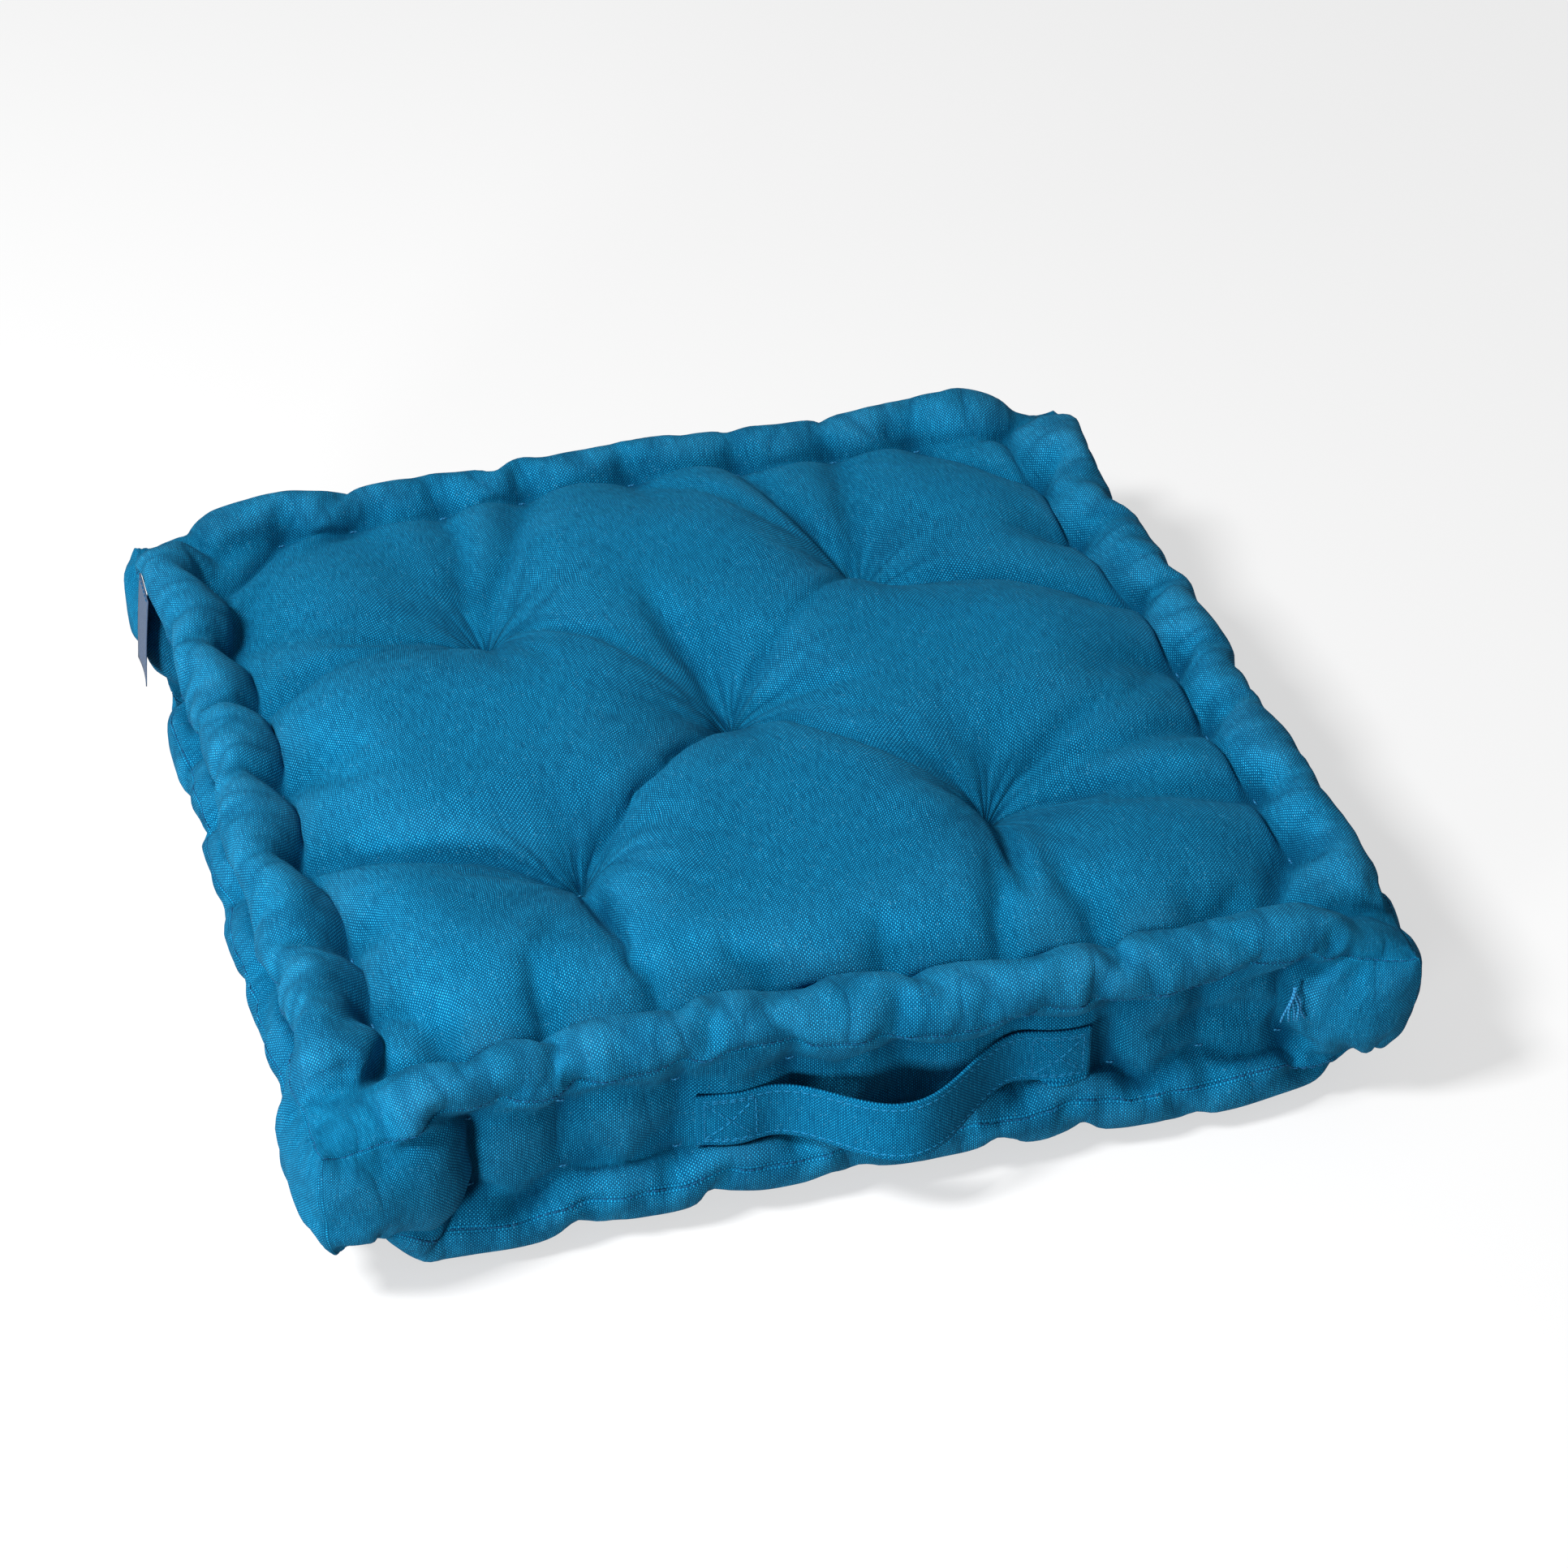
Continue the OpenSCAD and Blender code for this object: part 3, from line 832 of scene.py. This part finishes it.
TOPSTITCH = twine("topstitch", (0.012, 0.24, 0.46, 1), (0.003, 0.08, 0.20, 1), 0.0010, 0.5)
LABEL = satin("label", (0.075, 0.115, 0.190, 1), (0.030, 0.050, 0.095, 1))
WHITE_SATIN = satin("white_satin", (0.86, 0.87, 0.88, 1), (0.60, 0.62, 0.65, 1))
WADDING = fibre_wadding("wadding", (0.88, 0.87, 0.84, 1), (0.62, 0.61, 0.58, 1))

# ---- sew and fill the cover
top_ids, bottom_ids, band_ids = lattice(N, M)
sim_faces = np.concatenate(all_quads(top_ids, bottom_ids, band_ids))
pulls = pull_list(top_ids, bottom_ids, band_ids)
sim_points = sewn_points(pattern_points(), sim_faces, pulls)

# ---- cover with its seams
PIECES = {"top_cover": "top_panel", "bottom_cover": "bottom_panel", "band_cover": "side_band"}
SEAM_EDGE = 0.2  # share of a cell between the seam and the first row beside it
SEAM_SINK = 0.0014
COVER_THICKNESS = 0.0008
GATHER = 0.55  # how close the cloth beside a tuft is drawn to it
GATHER_REACH = 0.060
ROLL_PUCKER = 0.55  # how deep the fine creases are on the rolls
BAND_PUCKER = 0.35  # and on the band
HOLLOW_SHADE = 0.7  # painted shade: how dark the cloth is painted where it folds inwards
CREASE_REACH = 0.085  # how far the creases run out from a tuft


def with_seam_rows(count):
    """0, 1, 2 ... count, with one more place close to each end."""
    inner = np.arange(1, count)
    return np.array([0, SEAM_EDGE, *inner, count - SEAM_EDGE, count])


def gathered(points):
    """Draws the cloth round each tuft in towards its thread, which makes the dimples steep."""
    moved = points.copy()
    for centre in TUFT_PLACES:
        offset = points[:, :2] - np.array(centre)
        share = np.clip(np.linalg.norm(offset, axis=1) / GATHER_REACH, 0, 1)
        keep = GATHER + (1 - GATHER) * share * share * (3 - 2 * share)
        moved[:, :2] += offset * (keep - 1)[:, None]
    return moved


def bend_of(points, faces, normals):
    """How sharply the cloth bends at each point: more than 0 over a crest, less in a hollow."""
    pull = np.zeros_like(points)
    for a, b in ((0, 1), (1, 2), (2, 3), (3, 0)):
        np.add.at(pull, faces[:, a], points[faces[:, b]] - points[faces[:, a]])
    return averaged(averaged(-np.sum(pull * normals, axis=1), faces), faces)


def cover_masks(axis, band_points, bend):
    """{name: value at each vertex}: where the cloth puckers, which way its creases run, and where
    its crests get a painted highlight (partly wear) and its hollows painted shade.
    """
    fade_in = 0.010  # the puckers grow over this width of cloth, from just outside the groove
    dimple = 0.006  # and the creases round a tuft grow over this
    sharp_crest, sharp_hollow = 0.008, 0.0032  # a bend that counts in full
    x, y = np.meshgrid(axis * CELL_USED - PATTERN, axis * CELL_USED - PATTERN, indexing="ij")
    roll = PATTERN - ROLL_CLOTH
    out = np.maximum(np.abs(x), np.abs(y))
    puckered = ROLL_PUCKER * np.clip((out - roll - 0.002) / fade_in, 0, 1)
    turned = (np.abs(x) > np.abs(y)).astype(float)
    outer_x, outer_y = np.abs(x) - TUFT_REACH[0] * EASE, np.abs(y) - TUFT_REACH[1] * EASE
    nearest = np.minimum(np.hypot(x, y), np.hypot(outer_x, outer_y))
    drawn_in = np.clip(1 - nearest / CREASE_REACH, 0, 1) ** 1.3 * np.clip(nearest / dimple, 0, 1)

    def everywhere(panel, on_band):
        return np.concatenate([panel.ravel(), panel.ravel(), np.full(band_points, on_band)])

    return {
        "puckered": everywhere(puckered, BAND_PUCKER),
        "turned": everywhere(turned, 0.0),
        "drawn_in": everywhere(drawn_in, 0.0),
        # painted highlight, partly wear: how far a crest is lightened
        "crest": np.clip(bend / sharp_crest, 0, 1),
        # painted shade where the cloth folds inwards
        "painted_hollow_shade": HOLLOW_SHADE * np.clip(-bend / sharp_hollow - 0.35, 0, 1),
    }


def cover_uv(axis, ring, heights):
    """The thread coordinates at each corner of each face, in metres along the cut cloth."""

    def pairs(first, second):
        return np.stack(np.meshgrid(first, second, indexing="ij"), axis=2)

    flat = pairs(axis * CELL_USED, axis * CELL_USED)
    upright = pairs(np.append(ring, 4 * N) * CELL_USED, heights * BAND_CLOTH / M)
    return np.concatenate([quads(flat), quads(flat)[:, ::-1], quads(upright)])


def cover_mesh():
    """The whole cover as one mesh; a face's material number says which piece it belongs to."""
    axis, heights = with_seam_rows(N), with_seam_rows(M)
    m = len(heights) - 1
    top = sampled(sim_points[top_ids], axis, axis)
    bottom = sampled(sim_points[bottom_ids], axis, axis)
    ring = np.concatenate([axis[:-1], N + axis[:-1], 3 * N - axis[:0:-1], 4 * N - axis[:0:-1]])
    band = sampled(sim_points[closed(band_ids)], ring, heights)
    points = flat_list(top, bottom, band)
    fine_top, fine_bottom, fine_band = lattice(len(axis) - 1, m)
    groups = all_quads(fine_top, fine_bottom, fine_band)
    faces = np.concatenate(groups)
    normals = vertex_normals(points, faces)
    masks = cover_masks(axis, len(fine_band) * (m - 1), bend_of(points, faces, normals))
    seam_rows = fine_band[:, m], fine_band[:, 0]
    for row in seam_rows:
        points[row] -= SEAM_SINK * normals[row]

    mesh = bpy.data.meshes.new("cover")
    mesh.from_pydata(points.tolist(), [], faces.tolist())
    layer = mesh.uv_layers.new(name="thread_lines")
    layer.data.foreach_set("uv", cover_uv(axis, ring, heights).astype(np.float32).ravel())
    for name, values in masks.items():
        layer = mesh.attributes.new(name, "FLOAT", "POINT")
        layer.data.foreach_set("value", values.astype(np.float32))
    for _ in PIECES:
        mesh.materials.append(COVER)
    numbers = np.repeat(range(len(PIECES)), [len(group) for group in groups])
    mesh.polygons.foreach_set("material_index", numbers.astype(np.int32))
    mesh.shade_smooth()
    return mesh, [points[row] for row in seam_rows], [normals[row] for row in seam_rows]


def smoothed(mesh):
    """The mesh after one subdivision."""
    holder = bpy.data.objects.new("holder", mesh)
    bpy.context.scene.collection.objects.link(holder)
    modifier = holder.modifiers.new("smooth", "SUBSURF")
    modifier.levels = modifier.render_levels = 1
    modifier.uv_smooth = "NONE"
    graph = bpy.context.evaluated_depsgraph_get()
    result = bpy.data.meshes.new_from_object(
        holder.evaluated_get(graph), preserve_all_data_layers=True, depsgraph=graph
    )
    bpy.data.objects.remove(holder)
    return result


def cut_out(mesh, number, name):
    """One piece of the cover, as cloth of its own thickness."""
    work = bmesh.new()
    work.from_mesh(mesh)
    others = [f for f in work.faces if f.material_index != number]
    bmesh.ops.delete(work, geom=others, context="FACES")
    for face in work.faces:
        face.material_index = 0
    piece_mesh = bpy.data.meshes.new(name)
    work.to_mesh(piece_mesh)
    work.free()
    piece_mesh.shade_smooth()
    piece_mesh.materials.append(COVER)
    piece = bpy.data.objects.new(name, piece_mesh)
    bpy.context.scene.collection.objects.link(piece)
    cloth = piece.modifiers.new("thickness", "SOLIDIFY")
    cloth.thickness = COVER_THICKNESS
    cloth.offset = -1
    return piece


sim_points = gathered(sim_points)
cover, seams, seams_out = cover_mesh()
fine_cover = smoothed(cover)
cover_tree = BVHTree.FromPolygons(
    [v.co.copy() for v in fine_cover.vertices], [tuple(p.vertices) for p in fine_cover.polygons]
)
for number, (name, node) in enumerate(PIECES.items()):
    piece = cut_out(fine_cover, number, name)
    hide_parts(node)
    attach(piece, "cushion")

# ---- filling
FILLING_GAP = 0.0025  # the filling lies this far inside the cover
inner = sim_points - vertex_normals(sim_points, sim_faces) * FILLING_GAP
filling = new_piece("filling", inner, sim_faces, WADDING)
soften = filling.modifiers.new("soften", "SMOOTH")
soften.iterations = 2
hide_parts("core_filling", "top_roll_filling", "bottom_roll_filling")
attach(filling, "cushion")


# ---- seams and stitches
def thread_piece(name, tubes, material, nodes, body="cushion"):
    """One piece made of tubes of thread, which stands for some nodes."""
    points, faces, uv = joined(tubes)
    piece = new_piece(name, points, faces, material, uv)
    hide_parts(*nodes)
    if body:
        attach(piece, body)
    return piece


SEAM_LIFT = 0.0003
for name, path, out in zip(("top_seam", "bottom_seam"), seams, seams_out):
    row = stitch_row(closed(path) + closed(out) * SEAM_LIFT, closed(out))
    thread_piece(name, row, SEAM_THREAD, [f"{name}_thread"])

THREAD_R = 0.0004
VISIBLE = 0.0045  # length of a hand stitch that shows on the cloth
THREAD_SINK = 0.0008  # under the cloth the thread starts this deep


def surface(place):
    """The nearest point of the cover and the direction away from it."""
    spot, normal, _, _ = cover_tree.find_nearest(Vector(place))
    return np.array(spot), np.array(normal)


def hand_stitch(first, second, along):
    """A thread through the filling between two points, with a short loop on the cloth at each."""
    arc = ((-1, -1.5), (-0.6, 0.9), (0, 1.3), (0.6, 0.9), (1, -1.5))  # along it, and over the cloth
    tubes = []
    ends = []
    for place in (first, second):
        spot, normal = surface(place)
        run = np.array(along, float)
        run -= normal * (run @ normal)
        run /= np.linalg.norm(run)
        loop = [spot + run * VISIBLE / 2 * s + normal * (THREAD_R * h) for s, h in arc]
        tubes.append(tube(loop, THREAD_R))
        ends.append(spot - normal * THREAD_SINK)
    tubes.append(tube([ends[0], (ends[0] + ends[1]) / 2, ends[1]], THREAD_R))
    return tubes


ROLL_HEIGHTS = {
    "top_roll": (STITCH_Z, UNDER_Z),
    "bottom_roll": (HEIGHT - STITCH_Z, HEIGHT - UNDER_Z),
}
for roll, (groove_z, under_z) in ROLL_HEIGHTS.items():
    tubes = []
    for side in SIDES:
        along_side = np.subtract(on_side(side, 1, 0, 0), on_side(side, 0, 0, 0))
        for along, out in STITCHES[side]:
            groove = on_side(side, along * MM, out * MM, groove_z)
            under = on_side(side, along * MM, UNDER_OUT, under_z)
            tubes += hand_stitch(groove, under, along_side)
    thread_piece(f"{roll}_threads", tubes, TAIL_THREAD, [f"{roll}_stitches"])

for name, (x, y) in zip(TUFTS, TUFT_PLACES):
    tubes = hand_stitch((x, y, TUFT_Z), (x, y, HEIGHT - TUFT_Z), (0.8, 0.6, 0))
    thread_piece(name.replace("thread", "twine"), tubes, TUFT_THREAD, [name])

# ---- strap handle
LOOP_BOW = 0.025  # how far the loop stands off
LOOP_DROOP = 0.004  # and how far it hangs below its ends
LOOP_LEAN = 0.20  # the loop's upper edge leans in by this slope
STRAP_LIFT = 0.0004  # between the cover and the strap's inner face
ROW_PLACE = 0.1  # topstitching, as a share of the width
# Places across the strap, and its thickness there: thin at its edges and under the topstitching.
STRAP_ACROSS = np.array([0, 0.03, 0.1, 0.2, 0.4, 0.6, 0.8, 0.9, 0.97, 1])
STRAP_FULLNESS = np.array([0.55, 1, 0.8, 1, 1, 1, 1, 0.8, 1, 0.55])
STRAP_COUNT = 82
STRAP_MIDDLE_Z = (STRAP_LOW.z + STRAP_HIGH.z) / 2


def band_y(x, z):
    """Where the front of the cover is, at a place on it."""
    in_front = -2 * HALF
    return cover_tree.ray_cast(Vector((x, in_front, z)), Vector((0, 1, 0)))[0].y


def eased(grid, times):
    """A grid of numbers, each averaged with its neighbours a few times."""
    for _ in range(times):
        wide = np.pad(grid, 1, mode="edge")
        grid = (wide[:-2, 1:-1] + wide[2:, 1:-1] + wide[1:-1, :-2] + wide[1:-1, 2:]) / 4
    return grid


def strap_middle():
    """The strap's middle layer, as a grid of points along it and across it."""
    xs = np.linspace(LEFT_END[0].x, RIGHT_END[1].x, STRAP_COUNT)
    zs = STRAP_LOW.z + (STRAP_HIGH.z - STRAP_LOW.z) * STRAP_ACROSS
    sewn = (xs <= LOOP_LEFT) | (xs >= LOOP_RIGHT)
    base = np.zeros((len(xs), len(zs)))
    for k in np.nonzero(sewn)[0]:
        base[k] = [band_y(xs[k], z) for z in zs]
    for j in range(len(zs)):
        base[:, j] = np.interp(xs, xs[sewn], base[sewn, j])
    soft = eased(base, 12)
    base = np.where(sewn[:, None], np.minimum(soft, base), soft) - STRAP_LIFT - STRAP_T / 2
    share = np.clip((xs - LOOP_LEFT) / (LOOP_RIGHT - LOOP_LEFT), 0, 1)
    bow = (1 - np.cos(2 * math.pi * share)) / 2
    lean = (zs - STRAP_MIDDLE_Z) * LOOP_LEAN * bow[:, None]
    grid = np.empty((len(xs), len(zs), 3))
    grid[:, :, 0] = xs[:, None]
    grid[:, :, 1] = base - (bow * LOOP_BOW)[:, None] + lean
    grid[:, :, 2] = zs - (bow * LOOP_DROOP)[:, None]
    return grid


def grid_normals(grid):
    """Unit vectors away from a sheet, one at each of its points."""
    normals = np.cross(np.gradient(grid, axis=0), np.gradient(grid, axis=1))
    return normals / np.linalg.norm(normals, axis=2, keepdims=True)


def slab(grid, thickness):
    """(points, faces, uv, outer face) of a sheet with thickness, closed all round."""
    count, width = grid.shape[:2]
    away = grid_normals(grid) * (np.asarray(thickness) / 2)[..., None]
    outer, inner = grid + away, grid - away
    ids = np.arange(count * width).reshape(count, width)
    rim = np.concatenate([ids[:-1, 0], ids[-1, :-1], ids[:0:-1, -1], ids[0, :0:-1]])
    following = np.roll(rim, -1)
    sides = np.stack([rim + ids.size, following + ids.size, following, rim], axis=1)
    faces = np.concatenate([quads(ids), quads(ids)[:, ::-1] + ids.size, sides])
    run = np.linalg.norm(np.diff(grid[:, width // 2], axis=0), axis=1)
    rise = np.linalg.norm(np.diff(grid[count // 2], axis=0), axis=1)
    u, v = np.meshgrid(np.append(0, np.cumsum(run)), np.append(0, np.cumsum(rise)), indexing="ij")
    flat = np.stack([u, v], axis=2).reshape(-1, 2)
    points = np.concatenate([outer.reshape(-1, 3), inner.reshape(-1, 3)])
    return points, faces, flat[faces % ids.size], outer


def slab_piece(name, grid, thickness, material, nodes):
    """(piece, its outer face) of a sheet that stands for some nodes."""
    points, faces, uv, outer = slab(grid, thickness)
    piece = new_piece(name, points, faces, material, uv)
    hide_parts(*nodes)
    return piece, outer


def bend_with_handle(piece):
    """Bakes the piece's placement into its points."""
    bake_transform(piece)


strap_grid = strap_middle()
strap_thickness = np.broadcast_to(STRAP_FULLNESS * STRAP_T, strap_grid.shape[:2])
strap, strap_face = slab_piece("strap", strap_grid, strap_thickness, STRAP,
                               ["handle_left_end", "handle_loop", "handle_right_end"])
bend_with_handle(strap)
strap_out = grid_normals(strap_grid)


def on_strap(corners):
    """(path, lifts) over the strap's outer face through (x, share across) corners."""
    xs = strap_grid[:, 0, 0]
    path, lifts = [], []
    for (x0, v0), (x1, v1) in zip(corners, corners[1:]):
        for t in np.linspace(0, 1, 13):
            row = np.interp(x0 + (x1 - x0) * t, xs, range(len(xs)))
            share = v0 + (v1 - v0) * t
            column = np.interp(share, STRAP_ACROSS, range(len(STRAP_ACROSS)))
            place = np.array([row]), np.array([column])
            path.append(sampled(strap_face, *place)[0, 0])
            lifts.append(sampled(strap_out, *place)[0, 0])
    return np.array(path), np.array(lifts)


def edge_rows(start, end):
    """The two rows of topstitching between two places along the strap."""
    spacing = 0.006
    tubes = []
    steps = np.linspace(start, end, max(2, round(abs(end - start) / spacing)))
    for share in (ROW_PLACE, 1 - ROW_PLACE):
        tubes += stitch_row(*on_strap([(x, share) for x in steps]))
    return tubes


def box_rows(low, high):
    """A box with a cross in it, which holds the end of the strap."""
    a, b = 0.14, 0.86  # its edges, as shares of the strap's width
    lines = [
        ((low, a), (high, a)), ((high, a), (high, b)), ((high, b), (low, b)), ((low, b), (low, a)),
        ((low, a), (high, b)), ((low, b), (high, a)),
    ]
    tubes = []
    for line in lines:
        tubes += stitch_row(*on_strap(line))
    return tubes


ROW_INSET = 0.0025
BOX_INSET = 0.0035
STRAP_START, STRAP_END = LEFT_END[0].x, RIGHT_END[1].x
LOOP_START, LOOP_END = STRAP_LOW.x, STRAP_HIGH.x
STITCHING = {
    "left": edge_rows(STRAP_START + ROW_INSET, LOOP_START)
    + box_rows(STRAP_START + BOX_INSET, LOOP_LEFT - BOX_INSET),
    "loop": edge_rows(LOOP_START, LOOP_END),
    "right": edge_rows(LOOP_END, STRAP_END - ROW_INSET)
    + box_rows(LOOP_RIGHT + BOX_INSET, STRAP_END - BOX_INSET),
}
for place, tubes in STITCHING.items():
    piece = thread_piece(f"strap_topstitch_{place}", tubes, TOPSTITCH,
                         [f"handle_{place}_stitching"], body=None)
    bend_with_handle(piece)

# ---- labels
LABEL_T = 0.0005
CARE_T = 0.0002
LABEL_COLUMNS, LABEL_ROWS = 9, 16
LABEL_CUP = 0.0008  # the lower corners curl out by this
CARE_SHIFT = 0.0045  # the care label shows beside the side label's back edge


def hanging_grid(low_y, high_y, top_z, drop, out, swell, flare):
    """A tape that hangs from the left seam. It swells a little and its lower end stands off."""
    ys = np.linspace(high_y, low_y, LABEL_COLUMNS)
    shares = np.linspace(0, 1, LABEL_ROWS)
    grid = np.empty((len(ys), len(shares), 3))
    for a, y in enumerate(ys):
        cup = 4 * ((y - low_y) / (high_y - low_y) - 0.5) ** 2
        for b, share in enumerate(shares):
            stand = swell * math.sin(math.pi * share) + flare * share**2 + LABEL_CUP * cup * share
            grid[a, b] = (-(out + stand), y, top_z - drop * share)
    return grid


def label_piece(name, node, thickness, material, shift, out, swell, flare):
    """A label that hangs from the left seam, as long and wide as its node's box."""
    low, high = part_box(node)
    flat = (high.y - low.y, high.z - low.z)
    grid = hanging_grid(low.y + shift, high.y + shift, high.z, flat[1], HALF + out, swell, flare)
    piece, _ = slab_piece(name, grid, np.full(grid.shape[:2], thickness), material, [node])
    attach(piece, "labels")


label_piece("blank_side_label", "side_label", LABEL_T, LABEL,
            shift=0, out=0.0008, swell=0.0014, flare=0.0042)
label_piece("blank_care_label", "care_label", CARE_T, WHITE_SATIN,
            shift=CARE_SHIFT, out=0.0002, swell=0.0010, flare=0.0030)

LABEL_STITCHES = 12
STITCH_INSET = 0.001  # from the label's edges
label_ys = np.linspace(LABEL_LOW.y + STITCH_INSET, LABEL_HIGH.y - STITCH_INSET, LABEL_STITCHES)
label_row = np.array([(-(HALF + 0.0012), y, LABEL_HIGH.z - 0.0006) for y in label_ys])
outwards = np.tile((-1.0, 0, 0), (LABEL_STITCHES, 1))
thread_piece("label_thread", stitch_row(label_row, outwards), SEAM_THREAD,
             ["label_stitches"])

# ---- loose thread ends
TAIL_COUNT = 5
TAIL_FAN = 0.00242  # how far apart the lower ends of two neighbours are
TAIL_R = 0.00045
TAIL_WAVE = 0.0006
tail_x = (TAILS_LOW.x + TAILS_HIGH.x) / 2
tail_y, tail_z = TAILS_LOW.y + 0.0006, TAILS_HIGH.z - 0.0006
tail_length = TAILS_HIGH.z - TAILS_LOW.z


def tail(k):
    """One loose end. It hangs down from the knot, fans out and is a little wavy."""
    spread = (k - (TAIL_COUNT - 1) / 2) * TAIL_FAN
    shares = np.linspace(0, 1, 9)
    xs = tail_x + spread * shares + TAIL_WAVE * np.sin(shares * (5 + k) + k)
    ys = tail_y - 0.0012 * shares - 0.0003 * (k % 2)
    zs = tail_z - tail_length * shares
    return tube(np.stack([xs, ys, zs], axis=1), TAIL_R, taper=0.8)


tails = [tail(k) for k in range(TAIL_COUNT)]
thread_piece("tail_threads", tails, TAIL_THREAD, ["thread_tails"], body="tails")

# ---- band join and closing
JOIN_X = 0.060
JOIN_LOW, JOIN_HIGH, JOIN_POINTS = 0.024, 0.076, 27
join_zs = np.linspace(JOIN_LOW, JOIN_HIGH, JOIN_POINTS)
join_spots = [surface((JOIN_X, HALF + 0.002, z)) for z in join_zs]
join_path, join_lifts = (np.array(column) for column in zip(*join_spots))
thread_piece("band_join", stitch_row(join_path, join_lifts), SEAM_THREAD,
             ["band_join_thread"])

OPENING_HALF = 0.070  # half of the length that is closed by hand
CLOSING_STEP = 0.005
CLOSING_REACH = 0.0024  # up and down from the seam
CLOSING_SLANT = 0.0008
CLOSING_R = THREAD_R * 0.9
low_seam = seams[1]
back_part = low_seam[(low_seam[:, 1] > HALF - 0.03) & (np.abs(low_seam[:, 0]) < OPENING_HALF)]
back_part = back_part[np.argsort(back_part[:, 0])]


def closing_stitch(place):
    """A slanted hand stitch over the seam."""
    reach = np.array((CLOSING_SLANT, 0, CLOSING_REACH))
    spots = [surface(place + side * reach) for side in (-1, 1)]
    low, high = (spot + normal * 0.0001 for spot, normal in spots)
    middle = (low + high) / 2 + spots[1][1] * 0.0006
    return tube([low, middle, high], CLOSING_R)


closing = [closing_stitch(place) for place in resampled(back_part, CLOSING_STEP)]
thread_piece("closing_thread", closing, SEAM_THREAD, ["closing_stitches"])

# ---- view, light and floor
CAMERA_AZIMUTH = math.radians(-16.0)
CAMERA_ELEVATION = math.radians(36.1)
CAMERA_DISTANCE = 1.671
CAMERA_TARGET = Vector((0.0225, -0.0082, 0.050))
CAMERA_LENS = 88.5


def look_from(azimuth, elevation):
    """The direction from the object to a camera or a light."""
    return Vector((
        math.sin(azimuth) * math.cos(elevation),
        -math.cos(azimuth) * math.cos(elevation),
        math.sin(elevation),
    ))


def add_camera():
    """A long lens, from above the front and a little to the left."""
    data = bpy.data.cameras.new("camera")
    data.lens = CAMERA_LENS
    data.sensor_width = 36
    camera = bpy.data.objects.new("camera", data)
    back = look_from(CAMERA_AZIMUTH, CAMERA_ELEVATION)
    camera.location = CAMERA_TARGET + back * CAMERA_DISTANCE
    camera.rotation_euler = back.to_track_quat("Z", "Y").to_euler()
    bpy.context.scene.collection.objects.link(camera)
    bpy.context.scene.camera = camera


def add_light(name, azimuth, elevation, distance, size, power):
    """A square area light that faces the object. Its angles are in degrees."""
    data = bpy.data.lights.new(name, "AREA")
    data.size = size
    data.energy = power
    light = bpy.data.objects.new(name, data)
    back = look_from(math.radians(azimuth), math.radians(elevation))
    light.location = back * distance
    light.rotation_euler = back.to_track_quat("Z", "Y").to_euler()
    bpy.context.scene.collection.objects.link(light)


def add_world(strength):
    """Even white light from all round."""
    world = bpy.data.worlds.new("studio")
    world.use_nodes = True
    background = world.node_tree.nodes["Background"]
    background.inputs["Color"].default_value = (1, 1, 1, 1)
    background.inputs["Strength"].default_value = strength
    bpy.context.scene.world = world


def add_floor():
    """A wide pale floor that glows a little, so that shadows on it stay soft."""
    reach = 20.0
    nodes = Nodes("pale_floor", 0.9, specular=0.1)
    settings = {
        "Base Color": (0.30, 0.30, 0.30, 1),
        "Emission Color": (1, 1, 1, 1),
        "Emission Strength": 0.60,
    }
    for socket, value in settings.items():
        nodes.shader.inputs[socket].default_value = value
    corners = [(-reach, -reach, 0), (reach, -reach, 0), (reach, reach, 0), (-reach, reach, 0)]
    floor = new_piece("floor", corners, [(0, 1, 2, 3)], nodes.material)
    floor.visible_diffuse = False


add_camera()
add_world(0.30)
add_light("key", azimuth=-72, elevation=52, distance=2.2, size=0.45, power=64)
add_light("fill", azimuth=-42, elevation=8, distance=2.6, size=0.5, power=62)
add_floor()
bpy.context.scene.view_settings.view_transform = "Standard"
